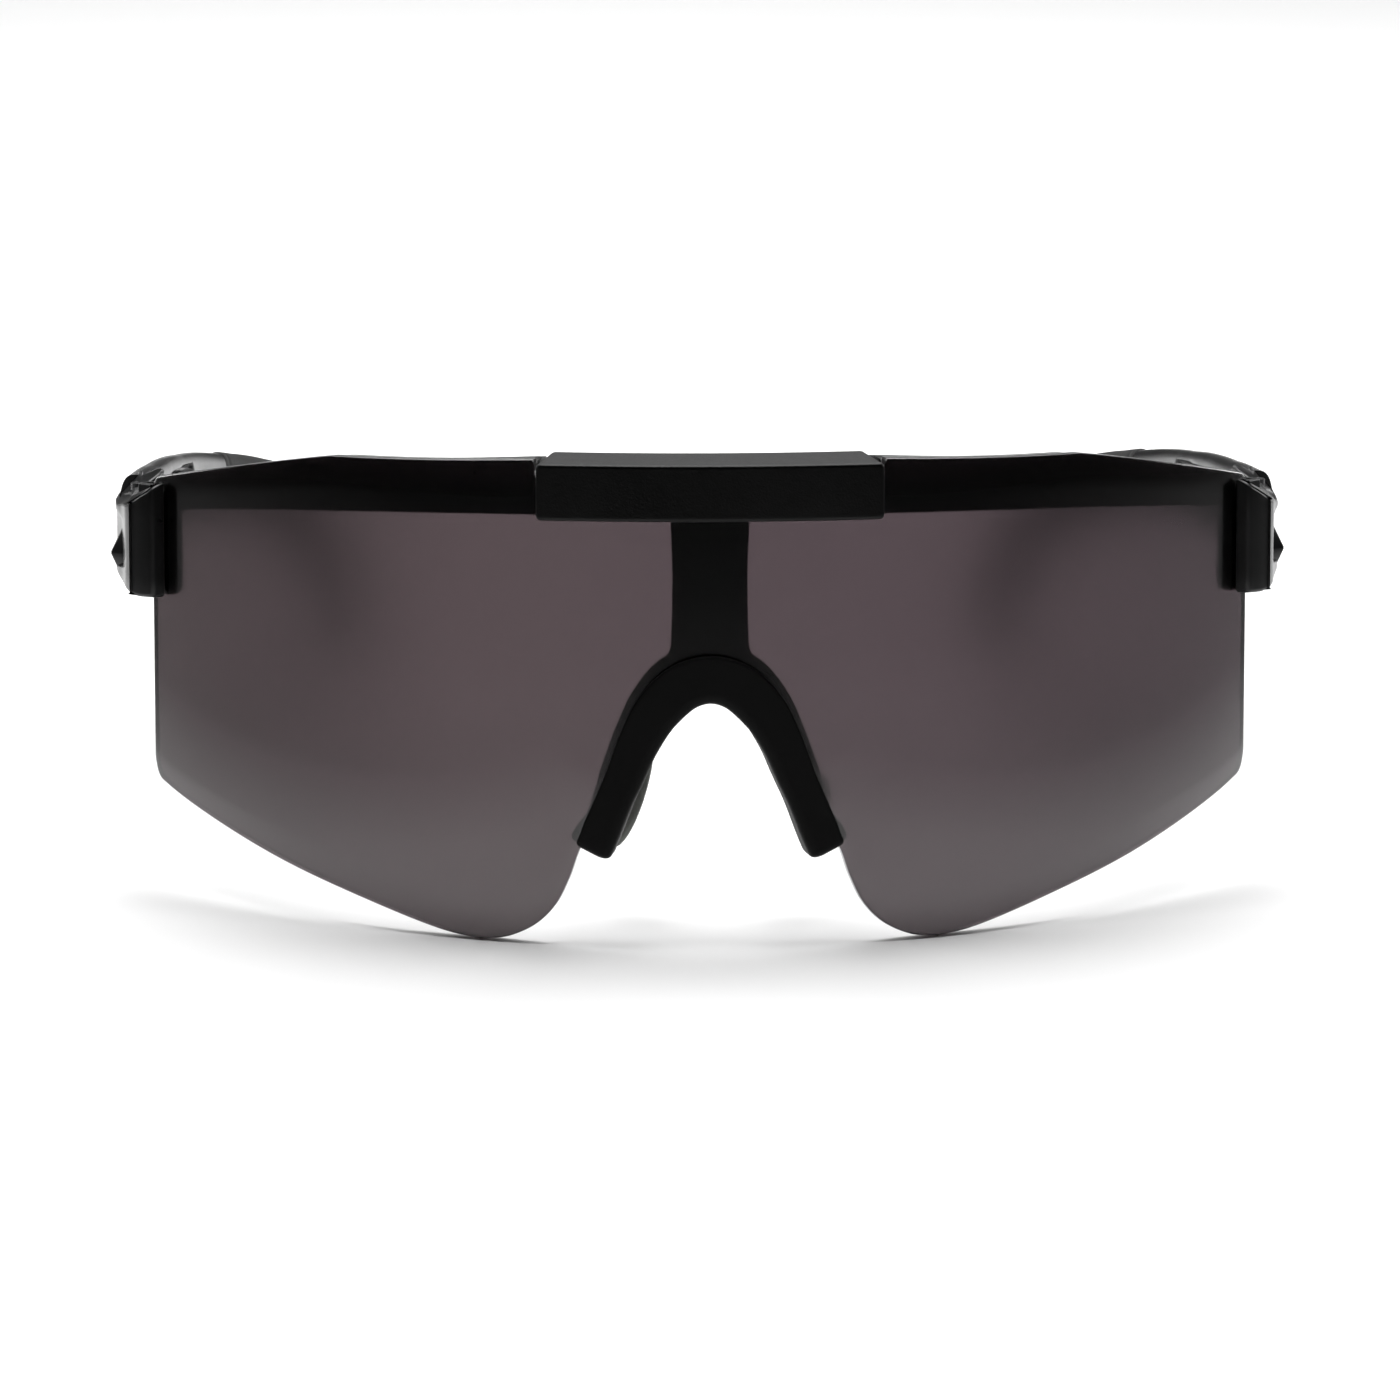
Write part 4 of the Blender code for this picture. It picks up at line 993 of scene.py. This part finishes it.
def lugShells():
    plans = lugPlans()
    startX, startY, _ = bend((lug["start"], 0.0, 0.0))

    def topOf(loop):
        # the top falls outwards and rises backwards
        out, back = loop[:, 0] - startX, loop[:, 1] - (startY - 5.3)
        return lug["high"] - 0.5 - 0.35 * out - 0.06 * np.maximum(out, 0) ** 2 + 2.4 * back / 21.4

    def bottomOf(loop):
        # level below the flange, turning up outside along a curve
        out = np.maximum(loop[:, 0] - startX - 3.4, 0)
        return lug["low"] + 0.17 * out**2

    rows = []
    turn = np.linspace(0, math.pi / 2, 6)
    softLow, softHigh = lug["softLow"], lug["softHigh"]
    ear, wall, sunk = plans["ear"], plans["wall"], plans["sunk"]
    for a in turn[::-1]:
        loop = insetLoop(ear, softLow * (1 - math.cos(a)))
        rows.append((loop, bottomOf(ear) + softLow * (1 - math.sin(a))))
    flat = np.ones(len(ear))
    bottomShelf = np.maximum(bottomOf(ear) + softLow + 0.05, lug["shelf"])
    rows.append((ear, bottomShelf - 0.05))
    rows.append((wall, bottomShelf))
    rows.append((wall, np.maximum(bottomShelf + 0.02, 41.75 * flat)))
    for share in np.linspace(0, 1, 6):
        mix = wall + (sunk - wall) * float(ease(share))
        rows.append((mix, np.maximum(bottomShelf + 0.03, (41.8 + 0.45 * share) * flat)))
    for z in np.linspace(42.6, 47.4, 8):
        rows.append((sunk, np.maximum(bottomShelf + 0.04, z)))
    upper = np.minimum(topOf(ear) - softHigh - 0.25, lug["ceiling"])
    for share in np.linspace(0, 1, 7):
        mix = sunk + (wall - sunk) * float(ease(share))
        rows.append((mix, np.minimum(upper - 0.03, (47.5 + 1.4 * share) * flat)))
    rows.append((wall, upper))
    rows.append((ear, upper + 0.05))
    for a in turn:
        loop = insetLoop(ear, softHigh * (1 - math.cos(a)))
        rows.append((loop, topOf(ear) - softHigh * (1 - math.sin(a))))
    return [skin([np.column_stack((loop, z)) for loop, z in rows])]


def toothShell():
    # a pointed tooth that stands out of the sunk side, as plan curves at rising heights
    x, y = hinge["x"], hinge["y"]
    rows = []
    levels = [(41.2, 0.35, 0.5), (41.5, 0.75, 0.85), (43.3, 1.55, 1.15)]
    levels += [(43.6, 1.55, 1.15), (46.2, 0.3, 0.5), (46.8, 0.05, 0.3)]
    for z, out, width in levels:
        point, slant = x + 2.5 + out, 0.4 * width
        plan = [(x + 2.2, y + 1.2 - width), (point, y + 1.6 - slant), (point, y + 1.8 + slant)]
        loop = roundedLoop(plan + [(x + 2.2, y + 2.4 + width)], 0.15, 4)
        rows.append(np.column_stack((loop, np.full(len(loop), z))))
    return skin(rows)


def gripShell(share0, share1):
    # the soft insert: a long pad with cross ribs and rounded ends
    shares = np.linspace(share0, share1, 160)
    centre, outward, upward = templeFrames(shares)
    face = -templeDepth(shares) / 2
    place = np.linspace(-1, 1, 160)
    taper = np.sqrt(np.clip(1 - np.abs(place * 0.995) ** 14, 0.02, 1))
    ribs = 0.12 * np.cos(shares * temple["reach"] * 2 * math.pi / 1.6)
    loops = []
    for k in range(160):
        half, proud = 2.6 * taper[k], 0.24 + ribs[k]
        section = roundedLoop([(-proud, -half), (-proud, half), (0.5, half), (0.5, -half)], 0.3, 4)
        depth, rise = section.T[..., None]
        loops.append(centre[k] + (face[k] + depth) * outward[k] + rise * upward[k])
    return skin(loops)


def armStations():
    # closer together at both ends of the grip's pocket
    runs = ((0.0, 0.07, 8), (0.075, 0.095, 14), (0.1, 0.32, 40), (0.325, 0.345, 14))
    shares = [np.linspace(*run) for run in runs]
    return np.concatenate(shares + [np.linspace(0.355, temple["armShare"], 26)])


def sockStations():
    # shares along the sock, and its size there: soft at the mouth, and rounded off at the tip
    tip = (0.965, 0.975, 0.983, 0.989, 0.994, 0.997, 0.999)
    shares = np.concatenate((np.linspace(temple["armShare"] + 0.0004, 0.955, 300), tip))
    size = np.concatenate((temple["sock"] * np.ones(300), (1.05, 1.02, 0.96, 0.87, 0.72, 0.52, 0.28)))
    size[:6] = temple["sock"] * np.array((0.9, 0.96, 0.98, 0.99, 0.997, 1.0))
    return shares, size


for side, word in ((-1, "left"), (1, "right")):
    body = f"temple_{word}"
    arm = templeTube(armStations(), 1.0, 2.8, 72, gripRelief)
    shells = [arm] + lugShells() + [toothShell()]
    piece(f"templeArm_{word}", shells, body, armLook, [f"temple_arm_{word}"], side)
    sock = templeTube(*sockStations(), 2.6, 64, sockRelief)
    piece(f"earSock_{word}", [sock], body, sockLook, [f"ear_sock_{word}"], side)
    grip = gripShell(temple["gripStart"], temple["gripEnd"])
    piece(f"templeGrip_{word}", [grip], body, sockLook, [f"temple_grip_{word}"], side)

# Screws, nuts and core strips keep their own shapes and only get a finish.

for name, look in (
    ("cap_screw", steelLook),
    ("temple_core", steelLook),
    ("hinge_screw", darkSteelLook),
    ("hinge_nut", brassLook),
):
    for word in ("left", "right"):
        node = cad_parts[f"{name}_{word}"]
        node.data.materials.clear()
        node.data.materials.append(look)
print("pieces made")


# where the white paper gives way to the painted shade round it: how dark, where it starts, how it widens and
# how soft it is
paintedShadeEdge = {"dark": 0.13, "start": 0.135, "widening": 0.13, "soft": 0.1}


def floorPiece():
    # a square sheet with a slow rise at the back
    turn = np.linspace(0.1, math.pi / 2, 12)
    depth = np.concatenate((np.linspace(-2.0, 2.2, 22), 2.2 + 1.4 * np.sin(turn)))
    rise = np.concatenate((np.zeros(22), 1.4 * (1 - np.cos(turn))))
    depth, rise = np.append(depth, 3.6), np.append(rise, 4.5)
    across = np.linspace(-4, 4, 5)
    points = [(x, y, z) for y, z in zip(depth, rise) for x in across]
    corners = [5 * row + column for row in range(len(depth) - 1) for column in range(4)]
    faces = [(k, k + 1, k + 6, k + 5) for k in corners]
    mesh = bpy.data.meshes.new("floor")
    mesh.from_pydata(points, [], faces)
    mesh.shade_smooth()
    look = Look("paper floor with painted shade", Roughness=0.9)
    tones = [(0.3, (0.93, 0.93, 0.93)), (0.7, (0.96, 0.96, 0.96))]
    paper = look.ramp(look.noise(3.0, 2.0), tones)
    # the white paper is a strip that widens to the back and ends in front; round it the floor is painted dark,
    # a painted shade that makes the glossy parts reflect darkness there
    along = look.part(1)
    outside = look.part(0).size() - along * paintedShadeEdge["widening"]
    start, dark = paintedShadeEdge["start"], paintedShadeEdge["dark"]
    shadeBeside = look.band(outside, start, start + paintedShadeEdge["soft"], 1.0, dark)
    # the painted shade also covers the floor in front of the strip
    before = look.band(along, -0.42, -0.34, dark, 1.0)
    mesh.materials.append(look.link(Base_Color=look.shade(paper, shadeBeside.smaller(before))))
    made = bpy.data.objects.new("floor", mesh)
    bpy.context.scene.collection.objects.link(made)
    return made


floorPiece()


def softbox(name, place, aim, size, power, tall, spread):
    lamp = bpy.data.lights.new(name, "AREA")
    lamp.shape = "RECTANGLE"
    lamp.size, lamp.size_y = size, tall
    lamp.spread = math.radians(spread)
    lamp.energy = power
    made = bpy.data.objects.new(name, lamp)
    bpy.context.scene.collection.objects.link(made)
    made.location = place
    direction = np.asarray(aim, float) - np.asarray(place, float)
    made.rotation_euler = Vector(direction).to_track_quat("-Z", "Y").to_euler()


softbox("top light", (0.0, 0.32, 1.1), (0.0, 0.18, 0.0), 1.3, 7.6, 1.0, 90)
softbox("left light", (-1.0, 0.55, 0.3), (0.0, 0.0, 0.04), 0.4, 0.9, 0.7, 70)
softbox("right light", (1.0, 0.55, 0.3), (0.0, 0.0, 0.04), 0.4, 0.9, 0.7, 70)
softbox("back light", (0.0, 1.6, 0.9), (0.0, 1.0, 0.0), 2.2, 6.0, 0.8, 120)

world = bpy.data.worlds.new("studio")
world.use_nodes = True
world.node_tree.nodes["Background"].inputs[0].default_value = (1.0, 1.0, 1.0, 1.0)
world.node_tree.nodes["Background"].inputs[1].default_value = 0.01
bpy.context.scene.world = world
bpy.context.scene.view_settings.view_transform = "Standard"
bpy.context.scene.view_settings.look = "None"

view = {"across": 2.0, "down": 8.0, "aim": (-1.27, 0.0, 29.87), "away": 800.0, "lens": 170.743}


def makeCamera():
    # the view is set in the glasses' own frame and leans with them
    across, down = math.radians(view["across"]), math.radians(view["down"])
    level = math.cos(down)
    forward = np.array((math.sin(across) * level, math.cos(across) * level, -math.sin(down)))
    right = np.cross(forward, (0, 0, 1))
    right /= np.linalg.norm(right)
    up = np.cross(right, forward)
    eye = toWorld(np.asarray(view["aim"]) - forward * view["away"])
    origin = toWorld((0, 0, 0))
    columns = [(toWorld(way) - origin) * 1000 for way in (right, up, -forward)]
    camera = bpy.data.cameras.new("camera")
    camera.lens = view["lens"]
    camera.sensor_width = 36.0
    camera.clip_start = 0.01
    made = bpy.data.objects.new("camera", camera)
    bpy.context.scene.collection.objects.link(made)
    place = Matrix(np.column_stack(columns).tolist()).to_4x4()
    place.translation = eye
    made.matrix_world = place
    bpy.context.scene.camera = made


makeCamera()
print("stage set")
